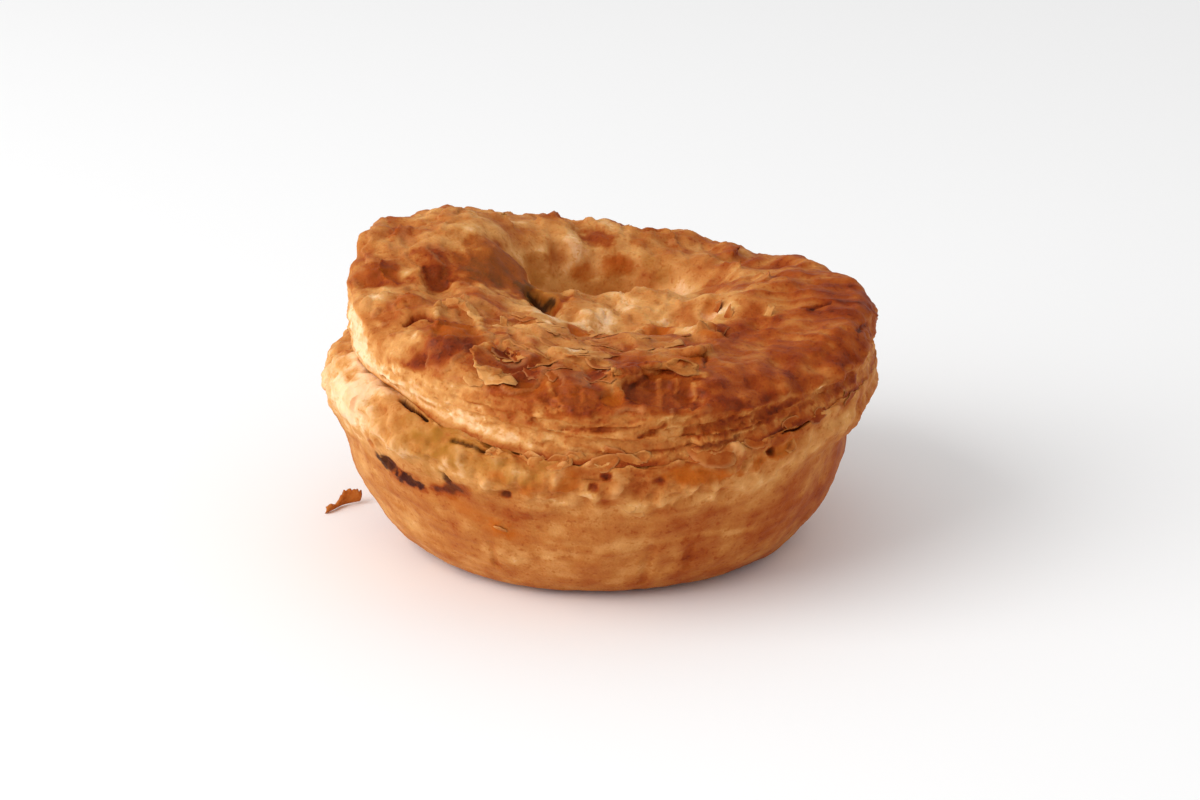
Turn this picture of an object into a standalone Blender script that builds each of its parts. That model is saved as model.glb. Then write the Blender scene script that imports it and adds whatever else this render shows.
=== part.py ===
"""A small round savoury pie: a tapered pastry case, full to the rim, under a puffed, sunken pastry lid."""

import math
import random

import bmesh
import bpy
from mathutils import Matrix, Vector, noise

# Driving dimensions, in metres. X is to the pie's right, Y to its back, and angles run from +X towards +Y.
CASE_RADIUS = 0.0548
FOOT_RADIUS = 0.0365
FOOT_HEIGHT = 0.0006
CASE_CURVE = 0.60
LIP_THICKNESS = 0.0080
LIP_TOP_INSET = 0.0070
LIP_REACH = 0.0010
LIP_REACH_RIGHT = 0.0045
BELLY_LEFT = 0.0012
BELLY_RIGHT = 0.0026

LID_RADIUS = 0.0520
LID_SHIFT = 0.0016
LID_EDGE_ROUND = 0.0022
LID_GAP = 0.0004
SHOULDER_DROP = 0.0090
FRONT_SHOULDER_RAISE = 0.0038
SHOULDER_WIDTH = 0.0140
SHOULDER_SQUARENESS = 0.45
LOWEST_WALL = 0.0022

SEAM_HEIGHT = 0.0368
SEAM_SAG = 0.0046
SEAM_RISE = 0.0026
SEAM_DIP = 0.0060
SEAM_RINGS = (0.018, 0.026, 0.034, 0.043)
CREST_HEIGHT = 0.0492
CREST_TILT = 0.0040
HUMP_HEIGHT = 0.0054
RIGHT_SWELL = 0.0040
BACK_RIGHT_DIP = 0.0008

DISH_CENTRE = Vector((0.002, 0.006))
DISH_RADIUS = 0.030
DISH_DEPTH = 0.0045
TROUGH_CENTRE = Vector((-0.001, 0.018))
TROUGH_SIZE = Vector((0.0185, 0.0085))
TROUGH_DEPTH = 0.0080
VENT_CENTRE = Vector((-0.0120, 0.0115))
VENT_RADIUS = 0.0045
VENT_DEPTH = 0.0050

CRAG_SIZE = 0.0070
CRAG_HEIGHT = 0.0013
LAYER_COUNT = 3
LAYER_DEPTH = 0.00045
CASE_RELIEF = 0.0007
CRUMBLE_HEIGHT = 0.0009

STEPS_ROUND = 96
MM = 0.001

# Lumps and pits on the lid's top: x, y, radius and height, in millimetres.
LUMPS_AND_PITS = (
    (-5.0, 8.0, 3.4, 2.6),
    (1.5, 10.0, 3.4, 2.8),
    (8.0, 9.5, 3.8, 3.0),
    (14.5, 8.0, 4.0, 2.4),
    (-8.0, 1.0, 4.2, 1.4),
    (-1.0, -3.0, 4.6, 1.2),
    (8.5, -2.5, 4.4, 1.4),
    (18.0, 1.0, 4.2, 1.4),
    (-27.7, -31.0, 3.8, 1.6),
    (-33.5, -24.5, 2.6, -1.2),
    (-31.0, -8.0, 4.0, -1.4),
    (8.0, -47.0, 4.5, -1.2),
    (15.0, -45.5, 4.5, -1.2),
    (33.0, -9.0, 4.0, -0.8),
    (44.0, -10.0, 3.0, -0.8),
)

# Flakes torn from the lid: angle and radius of the middle, length, width in millimetres and turn in degrees.
TORN_FLAKES = (
    (-138, 37.0, 9.0, 7.0, 20),
    (-117, 44.0, 10.0, 7.0, -60),
    (-111, 38.5, 10.0, 6.0, -25),
    (-97, 35.5, 9.0, 6.5, 10),
    (-86, 40.5, 9.0, 6.5, 5),
    (-73, 38.0, 13.0, 7.0, -10),
    (-57, 31.0, 10.0, 8.0, 15),
    (-34, 25.5, 7.0, 5.5, 70),
    (-17, 34.5, 6.0, 5.5, 80),
)
SPARE_FLAKES = 11
FLAKE_THICKNESS = 0.0012
FLAKE_LIFT_DEGREES = 14
FLAKE_CURL = 0.05
FLAKE_CORNERS = 10

SHARP_EDGE_DEGREES = 40

PASTRY_PALE = (0.50, 0.23, 0.09, 1)
PASTRY_BROWN = (0.36, 0.14, 0.04, 1)


def bump(angle, middle, width):
    """1 at the middle angle, fading to 0 over about twice the width either side; all in degrees."""
    away = (math.degrees(angle) - middle + 180) % 360 - 180
    return math.exp(-((away / width) ** 2))


def smooth_step(low, high, value):
    """0 below low, 1 above high and a soft S between them."""
    share = min(1.0, max(0.0, (value - low) / (high - low)))
    return share * share * (3 - 2 * share)


def seam_height(angle, radius):
    """Height of the joint between case and lid: sunk in the middle, and sagging at the front edge."""
    at_edge = smooth_step(0.034, 0.047, radius)
    dip = SEAM_DIP * (1 - smooth_step(0.016, 0.036, radius))
    return SEAM_HEIGHT - dip + at_edge * (SEAM_RISE * bump(angle, 205, 34) - SEAM_SAG * bump(angle, -86, 36))


def crest_height(angle):
    """Height of the lid's puffed ring, which stands highest at the back left."""
    lean = CREST_TILT * math.cos(angle - math.radians(150))
    hump = HUMP_HEIGHT * bump(angle, 150, 33)
    right = RIGHT_SWELL * bump(angle, 2, 26) - BACK_RIGHT_DIP * bump(angle, 52, 28)
    return CREST_HEIGHT + lean + hump + right


def shoulder_width(angle):
    """How far in from the lid's wall its crest lies: broad in front, tight at the left and right."""
    tight = 0.0070 * bump(angle, 155, 45) + 0.0055 * bump(angle, 15, 40)
    return SHOULDER_WIDTH - tight


def shoulder_drop(angle):
    """Height of the shoulder's round, which always leaves some upright wall under it."""
    wall_foot = seam_height(angle, LID_RADIUS) + LID_GAP + LID_EDGE_ROUND
    room = crest_height(angle) - wall_foot - LOWEST_WALL
    shallower = 0.0025 * bump(angle, 155, 45) + FRONT_SHOULDER_RAISE * bump(angle, -95, 55)
    return min(room, SHOULDER_DROP - shallower)


def lid_radius(angle):
    """Outline of the lid, a hand-cut round that spread unevenly."""
    uneven = 0.0004 * math.cos(5 * angle + 0.9)
    return LID_RADIUS + uneven - 0.0012 * bump(angle, 128, 22) - 0.0014 * bump(angle, 208, 34)


def case_radius(angle):
    """Outline of the case at its lip."""
    uneven = 0.0003 * math.cos(3 * angle + 0.5) - 0.0012 * bump(angle, -90, 50)
    return CASE_RADIUS + uneven


def foot_radius(angle):
    """Outline of the flat foot, pulled in a little at the front."""
    return FOOT_RADIUS - 0.0026 * bump(angle, -92, 34) + 0.0006 * math.cos(4 * angle + 0.4)


def lip_reach(angle):
    """How far the lip stands out of the wall under it."""
    return LIP_REACH + (LIP_REACH_RIGHT - LIP_REACH) * bump(angle, -5, 38)


def belly(angle, share):
    """Extra bulge of the wall, where the full case slumped outwards at its sides."""
    left = BELLY_LEFT * bump(angle, 188, 45) * math.sin(math.pi * min(1.0, share)) ** 0.6
    right = BELLY_RIGHT * bump(angle, -12, 38) * math.sin(math.pi * min(1.0, 1.25 * share)) ** 0.8
    return left + right


def top_height(x, y):
    """Height of the lid's top: the ring, the dish inside it, the trough at its back and the vent."""
    angle = math.atan2(y, x)
    radius = math.hypot(x, y)
    ring = smooth_step(0.0, 0.036, radius)
    height = (CREST_HEIGHT - 0.001) * (1 - ring) + crest_height(angle) * ring
    place = Vector((x, y))
    height -= DISH_DEPTH * (1 - smooth_step(0.35 * DISH_RADIUS, DISH_RADIUS, (place - DISH_CENTRE).length))
    across = (place - TROUGH_CENTRE)
    reach = math.hypot(across.x / TROUGH_SIZE.x, across.y / TROUGH_SIZE.y)
    height -= TROUGH_DEPTH * (1 - smooth_step(0.45, 1.25, reach))
    height -= VENT_DEPTH * (1 - smooth_step(0.4, 1.5, (place - VENT_CENTRE).length / VENT_RADIUS))
    return height


def surface_point(x, y):
    """A point on the lid's craggy top and the outward direction there."""
    step = 0.5 * MM
    slope_x = (lid_height(x + step, y) - lid_height(x - step, y)) / (2 * step)
    slope_y = (lid_height(x, y + step) - lid_height(x, y - step)) / (2 * step)
    smooth = Vector((x, y, lid_height(x, y)))
    up = Vector((-slope_x, -slope_y, 1)).normalized()
    return smooth + up * lid_relief(smooth), up


def lid_height(x, y):
    """Height of the lid over a place, on its top or on its rounded shoulder."""
    angle = math.atan2(y, x - LID_SHIFT)
    radius = math.hypot(x - LID_SHIFT, y)
    past_crest = radius - (lid_radius(angle) - shoulder_width(angle))
    if past_crest <= 0:
        return top_height(x - LID_SHIFT, y)
    share = min(0.97, past_crest / shoulder_width(angle))
    return crest_height(angle) - shoulder_drop(angle) * (1 - math.sqrt(1 - share * share))


def add_ring(mesh, points):
    return [mesh.verts.new(p) for p in points]


def bridge(mesh, lower, upper):
    """Quads between two rings with the same number of points."""
    for i, corner in enumerate(lower):
        j = (i + 1) % len(lower)
        mesh.faces.new((corner, lower[j], upper[j], upper[i]))


def cap(mesh, ring, centre, upwards):
    """A fan of triangles from a ring to its centre point."""
    middle = mesh.verts.new(centre)
    for i, corner in enumerate(ring):
        following = ring[(i + 1) % len(ring)]
        order = (corner, following, middle) if upwards else (following, corner, middle)
        mesh.faces.new(order)


def ring_points(radius_and_height, shift=0.0):
    """Points all round the pie at the radius and height that the function gives for each angle."""
    points = []
    for step in range(STEPS_ROUND):
        angle = math.tau * step / STEPS_ROUND
        radius, height = radius_and_height(angle)
        points.append(Vector((shift + radius * math.cos(angle), radius * math.sin(angle), height)))
    return points


def roughen(point, size, height, seed):
    """Craggy relief at a point: broad lumps with finer ones on them."""
    place = point / size + Vector((seed, 2.1 * seed, 0.7 * seed))
    return height * (noise.noise(place) + 0.5 * noise.noise(place * 2.3))


def case_rings():
    """Rings of the case from its flat foot, up the wall, over the lip and across the top."""
    rings = [
        ring_points(lambda a: (0.45 * FOOT_RADIUS, 0.0)),
        ring_points(lambda a: (foot_radius(a) - 0.001, 0.0)),
    ]
    wall_steps = 13
    for step in range(wall_steps + 1):
        share = (step / wall_steps) ** 1.3
        rings.append(ring_points(lambda a, s=share: case_wall(a, s)))
    for turn in (35, 70, 105, 140):
        rings.append(ring_points(lambda a, t=turn: case_lip(a, math.radians(t))))
    for radius in reversed(SEAM_RINGS):
        rings.append(ring_points(lambda a, r=radius: (r, seam_height(a, r))))
    return rings


def lip_height(angle):
    """Height of the widest point of the lip, half its thickness below the joint."""
    return seam_height(angle, CASE_RADIUS) - 0.5 * lip_thickness(angle)


def lip_thickness(angle):
    return LIP_THICKNESS + 0.0030 * bump(angle, 190, 40)


def case_wall(angle, share):
    """Radius and height up the wall, a bowl shape with the lip standing out at its top."""
    foot = foot_radius(angle)
    wall = case_radius(angle) - lip_reach(angle) - foot
    lip = lip_reach(angle) * smooth_step(0.70, 1.0, share)
    height = FOOT_HEIGHT + (lip_height(angle) - FOOT_HEIGHT) * share
    return foot + wall * share**CASE_CURVE + belly(angle, share) + lip, height


def case_lip(angle, turn):
    """The lip's round edge, from its widest point over to where the lid sits on it."""
    inset = LIP_TOP_INSET * (1 - math.cos(turn)) / 1.77
    rise = 0.5 * lip_thickness(angle) * math.sin(min(turn, math.pi / 2))
    radius = case_radius(angle) - inset
    return radius, lip_height(angle) + rise


def make_case():
    mesh = bmesh.new()
    previous = None
    rings = case_rings()
    for points in rings:
        moved = [roughen_case(p) for p in points]
        ring = add_ring(mesh, moved)
        if previous is None:
            cap(mesh, ring, Vector((0, 0, 0)), upwards=False)
        else:
            bridge(mesh, previous, ring)
        previous = ring
    cap(mesh, previous, Vector((0, 0, SEAM_HEIGHT - SEAM_DIP)), upwards=True)
    return finish_object("case", mesh, PASTRY_PALE, 0.55)


def roughen_case(point):
    """Uneven wall, crumbly towards the lip; the foot and the joint stay as they are."""
    radius = math.hypot(point.x, point.y)
    on_wall = point.z < seam_height(math.atan2(point.y, point.x), radius) - 0.002
    if not on_wall:
        return point
    free = smooth_step(0.0, 0.006, point.z)
    crumbly = smooth_step(0.018, 0.028, point.z)
    outward = Vector((point.x, point.y, 0)).normalized()
    relief = roughen(point, 0.012, CASE_RELIEF, 3) + crumbly * roughen(point, 0.0055, CRUMBLE_HEIGHT, 5)
    return point + outward * free * relief


def lid_rings():
    """Rings of the lid from the middle of its underside, round its edge and up over the top."""
    rings = []
    for radius in SEAM_RINGS:
        rings.append(ring_points(lambda a, r=radius: (r, seam_height(a, r) + LID_GAP)))
    rings.append(ring_points(lambda a: lid_edge(a, 0.0), LID_SHIFT))
    for turn in (45, 90):
        rings.append(ring_points(lambda a, t=turn: lid_edge(a, math.radians(t)), LID_SHIFT))
    wall_steps = 2 * LAYER_COUNT
    for step in range(1, wall_steps + 1):
        rings.append(ring_points(lambda a, s=step / wall_steps: lid_wall(a, s), LID_SHIFT))
    shoulder_steps = 6
    for step in range(1, shoulder_steps + 1):
        turn = 0.5 * math.pi * step / shoulder_steps
        rings.append(ring_points(lambda a, t=turn: lid_shoulder(a, t), LID_SHIFT))
    top_steps = 18
    for step in range(1, top_steps):
        rings.append(ring_points(lambda a, s=step / top_steps: lid_top(a, s), LID_SHIFT))
    return rings


def lid_edge(angle, turn):
    """The lid's lower edge, a small quarter round."""
    radius = lid_radius(angle) - LID_EDGE_ROUND * (1 - math.sin(turn))
    height = seam_height(angle, lid_radius(angle)) + LID_GAP + LID_EDGE_ROUND * (1 - math.cos(turn))
    return radius, height


def lid_wall(angle, share):
    """Radius and height up the lid's side, whose pastry layers stand out as low ridges."""
    low = lid_edge(angle, math.pi / 2)[1]
    high = crest_height(angle) - shoulder_drop(angle)
    layers = -LAYER_DEPTH * math.cos(math.tau * share * LAYER_COUNT) * math.sin(math.pi * share)
    return lid_radius(angle) + layers, low + (high - low) * share


def lid_shoulder(angle, turn):
    tightness = max(bump(angle, 165, 45), bump(angle, 10, 35), 0.4 * bump(angle, -90, 50))
    squareness = 1 - SHOULDER_SQUARENESS * tightness
    inward = 1 - max(0.0, math.cos(turn)) ** squareness
    downward = 1 - math.sin(turn) ** squareness
    radius = lid_radius(angle) - shoulder_width(angle) * inward
    return radius, crest_height(angle) - shoulder_drop(angle) * downward


def lid_top(angle, share):
    radius = (lid_radius(angle) - shoulder_width(angle)) * (1 - share)
    x = radius * math.cos(angle)
    y = radius * math.sin(angle)
    return radius, top_height(x, y)


def make_lid():
    mesh = bmesh.new()
    previous = None
    for points in lid_rings():
        ring = add_ring(mesh, points)
        if previous is None:
            cap(mesh, ring, Vector((0, 0, SEAM_HEIGHT - SEAM_DIP + LID_GAP)), upwards=False)
        else:
            bridge(mesh, previous, ring)
        previous = ring
    cap(mesh, previous, Vector((LID_SHIFT, 0, top_height(0, 0))), upwards=True)
    bmesh.ops.recalc_face_normals(mesh, faces=mesh.faces)
    roughen_lid(mesh)
    return finish_object("lid", mesh, PASTRY_BROWN, 0.4)


def roughen_lid(mesh):
    """Crags, lumps and pits over the top and shoulder, along each point's normal."""
    mesh.normal_update()
    for v in mesh.verts:
        facing = smooth_step(-0.1, 0.4, v.normal.z + 0.3 * smooth_step(0.038, 0.044, v.co.z))
        v.co += v.normal * facing * lid_relief(v.co)


def lid_relief(place):
    """How far the crags, lumps and pits lift the lid's top at a place."""
    relief = roughen(place, CRAG_SIZE, CRAG_HEIGHT, 11)
    for x, y, radius, height in LUMPS_AND_PITS:
        away = math.hypot(place.x / MM - x, place.y / MM - y) / radius
        relief += height * MM * math.exp(-away * away)
    return relief


def flake_places():
    """The largest torn flakes, then more spread round the rest of the ring by a seeded rule."""
    places = list(TORN_FLAKES)
    draw = random.Random(7)
    for number in range(SPARE_FLAKES):
        angle = 10 + 200 * (number + draw.uniform(0.2, 0.8)) / SPARE_FLAKES
        length = draw.uniform(7, 10)
        width = draw.uniform(5, 7)
        places.append((angle, draw.uniform(32, 43), length, width, draw.uniform(-40, 40)))
    return places


def make_flake(number, angle, radius, length, width, turn):
    """One jagged flake, dug into the lid on its inner side, and lifted and thin on its outer side."""
    draw = random.Random(100 + number)
    direction = math.radians(angle)
    place, up = surface_point(radius * MM * math.cos(direction), radius * MM * math.sin(direction))
    turned = direction + math.radians(turn)
    along = Vector((-math.sin(turned), math.cos(turned), 0))
    along = (along - up * along.dot(up)).normalized()
    outward = along.cross(up).normalized()
    outline = []
    for corner in range(FLAKE_CORNERS):
        reach = draw.uniform(0.75, 1.0) + 0.18 * (corner % 2)
        around = math.tau * (corner + draw.uniform(-0.2, 0.2)) / FLAKE_CORNERS
        half_reach = 0.5 * reach * MM
        outline.append((length * half_reach * math.cos(around), width * half_reach * math.sin(around)))
    mesh = bmesh.new()
    rims = []
    for side in (-1, 1):
        rim = []
        for u, w in outline:
            lift = w * math.tan(math.radians(FLAKE_LIFT_DEGREES)) + FLAKE_CURL * w * abs(w) / MM
            half = FLAKE_THICKNESS * (0.5 - 0.3 * smooth_step(0, 0.5 * width * MM, w))
            rim.append(mesh.verts.new(place + along * u + outward * w + up * (lift + side * half)))
        mesh.faces.new(rim)
        rims.append(rim)
    bridge(mesh, rims[0], rims[1])
    bmesh.ops.triangulate(mesh, faces=mesh.faces)
    return finish_object(f"flake_{number}", mesh, PASTRY_BROWN, 0.4)


def fuse(body, pieces):
    """Joins the pieces into the body with one Boolean union and removes them."""
    group = bpy.data.collections.new("pieces_to_fuse")
    for piece in pieces:
        group.objects.link(piece)
    union = body.modifiers.new("fuse", "BOOLEAN")
    union.operation = "UNION"
    union.operand_type = "COLLECTION"
    union.collection = group
    union.solver = "EXACT"
    evaluated = body.evaluated_get(bpy.context.evaluated_depsgraph_get())
    fused = bpy.data.meshes.new_from_object(evaluated)
    body.modifiers.clear()
    body.data = fused
    for piece in pieces:
        bpy.data.objects.remove(piece)
    bpy.data.collections.remove(group)


def finish_object(name, mesh, colour, roughness):
    bmesh.ops.recalc_face_normals(mesh, faces=mesh.faces)
    data = bpy.data.meshes.new(name)
    mesh.to_mesh(data)
    mesh.free()
    data.shade_smooth()
    data.set_sharp_from_angle(angle=math.radians(SHARP_EDGE_DEGREES))
    material = bpy.data.materials.new(name)
    material.use_nodes = True
    shader = material.node_tree.nodes["Principled BSDF"]
    shader.inputs["Base Color"].default_value = colour
    shader.inputs["Roughness"].default_value = roughness
    data.materials.append(material)
    made = bpy.data.objects.new(name, data)
    bpy.context.scene.collection.objects.link(made)
    return made


def centre_on_foot(objects):
    """Shifts the solids so that the middle of their box is over the origin and the foot lies at height 0."""
    corners = [v.co for made in objects for v in made.data.vertices]
    middle = [0.5 * (min(c[axis] for c in corners) + max(c[axis] for c in corners)) for axis in (0, 1)]
    shift = Vector((middle[0], middle[1], min(c.z for c in corners)))
    for made in objects:
        made.data.transform(Matrix.Translation(-shift))


def main():
    for old in list(bpy.data.objects):
        bpy.data.objects.remove(old)
    case = make_case()
    lid = make_lid()
    flakes = [make_flake(number, *place) for number, place in enumerate(flake_places())]
    fuse(lid, flakes)
    centre_on_foot((case, lid))


main()
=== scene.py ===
# %% [markdown]
# # Baking a small savoury pie in Blender
#
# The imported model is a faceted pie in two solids, a case and a lid. This lesson gives them the
# surface of real baked pastry: crags, torn layers, browning and stains. The solids themselves are
# never changed. Each one is copied, worked finer, and the copy stands in for it.

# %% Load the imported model
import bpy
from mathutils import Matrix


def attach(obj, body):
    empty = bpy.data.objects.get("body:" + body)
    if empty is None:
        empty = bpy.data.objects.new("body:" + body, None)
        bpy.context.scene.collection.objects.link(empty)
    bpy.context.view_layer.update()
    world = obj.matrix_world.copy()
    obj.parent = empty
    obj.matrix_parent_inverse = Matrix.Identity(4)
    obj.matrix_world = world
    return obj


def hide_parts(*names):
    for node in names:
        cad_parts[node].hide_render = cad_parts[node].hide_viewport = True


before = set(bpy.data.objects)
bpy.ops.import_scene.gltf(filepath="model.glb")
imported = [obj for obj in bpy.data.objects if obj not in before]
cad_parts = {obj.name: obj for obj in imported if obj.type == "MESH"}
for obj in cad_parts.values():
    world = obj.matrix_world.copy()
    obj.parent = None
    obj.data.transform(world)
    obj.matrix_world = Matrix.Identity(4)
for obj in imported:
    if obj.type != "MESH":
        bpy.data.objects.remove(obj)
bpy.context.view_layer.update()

# %% [markdown]
# ## Tools
#
# Everything is measured in metres in Blender, but pastry is easier to think about in millimetres,
# so points are turned to millimetres as soon as they are read from a mesh.

# %% Tools for the rest of the lesson
import itertools
import math
import random

import bmesh
import bpy
import numpy as np
from mathutils import Vector
from mathutils.bvhtree import BVHTree

MM = 0.001
scene = bpy.context.scene

# %% [markdown]
# ## The camera
#
# A product photographer stands back with a short telephoto lens and looks down a little. An 85 mm
# lens 56 cm away, 20 degrees above the table, gives the outline that the photograph shows. The
# camera comes first because some marks are placed by where the photograph shows them.

# %% Camera
LENS_MM = 85
SENSOR_MM = 36
CAMERA_ELEVATION = math.radians(20)
CAMERA_DISTANCE = 0.5645
LOOK_AT = Vector((0.0, -0.0007, 0.0267))
PHOTO_WIDTH = 1200
PHOTO_HEIGHT = 800

camera_back = Vector((0, -math.cos(CAMERA_ELEVATION), math.sin(CAMERA_ELEVATION)))
camera_up = Vector((0, math.sin(CAMERA_ELEVATION), math.cos(CAMERA_ELEVATION)))
camera_right = Vector((1, 0, 0))
camera = bpy.data.objects.new("camera", bpy.data.cameras.new("camera"))
scene.collection.objects.link(camera)
camera.data.lens = LENS_MM
camera.data.sensor_width = SENSOR_MM
camera.data.clip_start = 0.01
camera.location = LOOK_AT + camera_back * CAMERA_DISTANCE
camera.rotation_euler = (-camera_back).to_track_quat("-Z", "Y").to_euler()
scene.camera = camera
print("camera at", [round(c, 3) for c in camera.location])


def sight_line(px, py):
    """The direction from the camera through a pixel of the 1200 by 800 photograph."""
    across = (px - PHOTO_WIDTH / 2) / PHOTO_WIDTH * SENSOR_MM / LENS_MM
    above = (PHOTO_HEIGHT / 2 - py) / PHOTO_WIDTH * SENSOR_MM / LENS_MM
    return (-camera_back + camera_right * across + camera_up * above).normalized()


# %% [markdown]
# ## A fine, even surface
#
# Real pastry has detail down to a fraction of a millimetre, and the solids have faces three or four
# millimetres wide. A voxel remesh wraps each solid in small even faces, and a few rounds of
# smoothing melt the facets away, so that the detail comes from the dough and not from the solid.
# Subdividing would also work, but it keeps the solid's long thin faces, which take detail badly.

# %% Fine copies of the solids
LID_VOXEL = 0.49 * MM
CASE_VOXEL = 0.53 * MM
FACET_MELTING_ROUNDS = 14
SMOOTHING = 0.50
SWELLING_BACK = 0.52
WELD_REACH = 0.01 * MM
HIDDEN_RADIUS = 44 * MM
HIDDEN_TURN = 0.4
LOWEST_JOINT = 25 * MM


def read_points(mesh):
    flat = np.empty(3 * len(mesh.vertices), np.float32)
    mesh.vertices.foreach_get("co", flat)
    return flat.reshape(-1, 3).astype(float) / MM


def read_normals(mesh):
    flat = np.empty(3 * len(mesh.vertices), np.float32)
    mesh.vertices.foreach_get("normal", flat)
    return flat.reshape(-1, 3).astype(float)


def write_points(mesh, points):
    mesh.vertices.foreach_set("co", (points * MM).astype(np.float32).ravel())
    mesh.update()


def neighbour_mean(mesh, values):
    """For each point, the mean of the values at the points that an edge joins to it."""
    ends = np.empty(2 * len(mesh.edges), np.int32)
    mesh.edges.foreach_get("vertices", ends)
    a, b = ends.reshape(-1, 2).T
    total = len(mesh.vertices)
    joined = np.bincount(a, minlength=total) + np.bincount(b, minlength=total)
    columns = values.reshape(total, -1)
    sums = [np.bincount(a, c[b], total) + np.bincount(b, c[a], total) for c in columns.T]
    return (np.array(sums).T / np.maximum(joined, 1)[:, None]).reshape(values.shape)


def relax(mesh):
    """Smooths a surface and swells it back after each round, so that it doesn't shrink."""
    points = read_points(mesh)
    for _ in range(FACET_MELTING_ROUNDS):
        points += SMOOTHING * (neighbour_mean(mesh, points) - points)
        points -= SWELLING_BACK * (neighbour_mean(mesh, points) - points)
    write_points(mesh, points)


def close_hidden_side(mesh, hidden_normal):
    """Swaps the fine faces that lie hidden in the joint for one flat cone of long triangles."""
    worked = bmesh.new()
    worked.from_mesh(mesh)
    in_joint = set()
    for face in worked.faces:
        centre = face.calc_center_median()
        turned = face.normal.z * hidden_normal > HIDDEN_TURN
        if turned and centre.z > LOWEST_JOINT and math.hypot(centre.x, centre.y) < HIDDEN_RADIUS:
            in_joint.add(face)
    hidden = [min(in_joint, key=lambda face: face.calc_center_median().z)]
    lowest = hidden[0].calc_center_median().z
    in_joint.discard(hidden[0])
    for face in hidden:
        for edge in face.edges:
            for other in edge.link_faces:
                if other in in_joint:
                    in_joint.discard(other)
                    hidden.append(other)
    bmesh.ops.delete(worked, geom=hidden, context="FACES")
    rim = [edge for edge in worked.edges if edge.is_boundary]
    middle = worked.verts.new((0, 0, lowest))
    for edge in rim:
        worked.faces.new((*edge.verts, middle))
    bmesh.ops.recalc_face_normals(worked, faces=worked.faces)
    worked.to_mesh(mesh)
    worked.free()


def finer_copy(node, name, voxel, hidden_normal):
    """A new object with the form of a CAD node, in small even faces."""
    made = bpy.data.objects.new(name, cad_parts[node].data.copy())
    scene.collection.objects.link(made)
    welded = bmesh.new()
    welded.from_mesh(made.data)
    bmesh.ops.remove_doubles(welded, verts=welded.verts, dist=WELD_REACH)
    welded.to_mesh(made.data)
    welded.free()
    wrap = made.modifiers.new("even_faces", "REMESH")
    wrap.mode = "VOXEL"
    wrap.voxel_size = voxel
    evaluated = made.evaluated_get(bpy.context.evaluated_depsgraph_get())
    made.data = bpy.data.meshes.new_from_object(evaluated)
    made.modifiers.clear()
    made.data.materials.clear()
    relax(made.data)
    close_hidden_side(made.data, hidden_normal)
    made.data.shade_smooth()
    print(name, "has", len(made.data.polygons), "faces")
    return made


lid = finer_copy("lid", "pie_lid", LID_VOXEL, hidden_normal=-1)
case = finer_copy("case", "pie_case", CASE_VOXEL, hidden_normal=1)

# %% [markdown]
# ## Noise that can be aimed
#
# Crags, blisters and browning are all uneven in the same way: large soft shapes with smaller ones
# on them. Blender's own noise works one point at a time in Python, which is slow for two hundred
# thousand points, so this is the same gradient noise written for whole arrays. Its scale is always
# given as the real width of one lump in millimetres.

# %% Noise for whole arrays
lattice_ways = itertools.product((-1, 0, 1), repeat=3)
GRADIENTS = np.array([way for way in lattice_ways if sum(map(abs, way)) == 2], float)


def scramble(x, y, z, seed):
    """A repeatable whole number for each lattice corner."""
    mixed = (x * 73856093) ^ (y * 19349663) ^ (z * 83492791) ^ (seed * 26544357)
    mixed = ((mixed ^ (mixed >> 13)) * 1274126177) & 0x7FFFFFFF
    return mixed ^ (mixed >> 15)


def lumps(points, width, seed):
    """Smooth noise from about -1 to 1, with lumps of about this width in millimetres."""
    places = points / width + 0.37 * seed
    corner = np.floor(places).astype(np.int64)
    part = places - corner
    fade = part**3 * (part * (part * 6 - 15) + 10)
    total = np.zeros(len(points))
    for offset in itertools.product((0, 1), repeat=3):
        offset = np.array(offset)
        x, y, z = (corner + offset).T
        slope = GRADIENTS[scramble(x, y, z, seed) % len(GRADIENTS)]
        share = np.prod(np.where(offset, fade, 1 - fade), axis=1)
        total += share * ((part - offset) * slope).sum(axis=1)
    return 1.5 * total


def crumple(points, width, seed, octaves=3, fall=0.5):
    """Lumps with smaller lumps on them."""
    total = np.zeros(len(points))
    for octave in range(octaves):
        total += fall**octave * lumps(points, width / 2**octave, seed + 17 * octave)
    return total


def ease(low, high, value):
    """0 below low, 1 above high, and a soft S between them."""
    share = np.clip((value - low) / (high - low), 0, 1)
    return share * share * (3 - 2 * share)


sample = crumple(read_points(lid.data)[:2000], 5.0, 1)
print("noise runs from", round(sample.min(), 2), "to", round(sample.max(), 2))

# %% [markdown]
# ## Reading the pie's own shape
#
# Much of the finish follows the joint between lid and case: the lid's side has level layers above
# it, and the case is crumbly just below it. The joint's height changes round the pie, so it is
# measured from the solids, once every few degrees.

# %% Height of the joint round the pie
JOINT_SAMPLES = 60
JOINT_RADIUS_MM = 48.0


def angle_of(points):
    return np.arctan2(points[:, 1], points[:, 0])


def radius_of(points):
    return np.hypot(points[:, 0], points[:, 1])


def sample_round(points, values, pick):
    """One value for each of the sampled angles, picked from the points there and evened out."""
    slot = np.round(angle_of(points) / math.tau * JOINT_SAMPLES).astype(int) % JOINT_SAMPLES
    found = np.array([pick(values[slot == s]) for s in range(JOINT_SAMPLES)])
    return (np.roll(found, 1) + found + np.roll(found, -1)) / 3


def read_round(points, sampled):
    """The value at each point's angle, between the sampled ones."""
    turn = (angle_of(points) / math.tau * JOINT_SAMPLES) % JOINT_SAMPLES
    low = np.floor(turn).astype(int)
    part = turn - low
    return sampled[low % JOINT_SAMPLES] * (1 - part) + sampled[(low + 1) % JOINT_SAMPLES] * part


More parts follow.
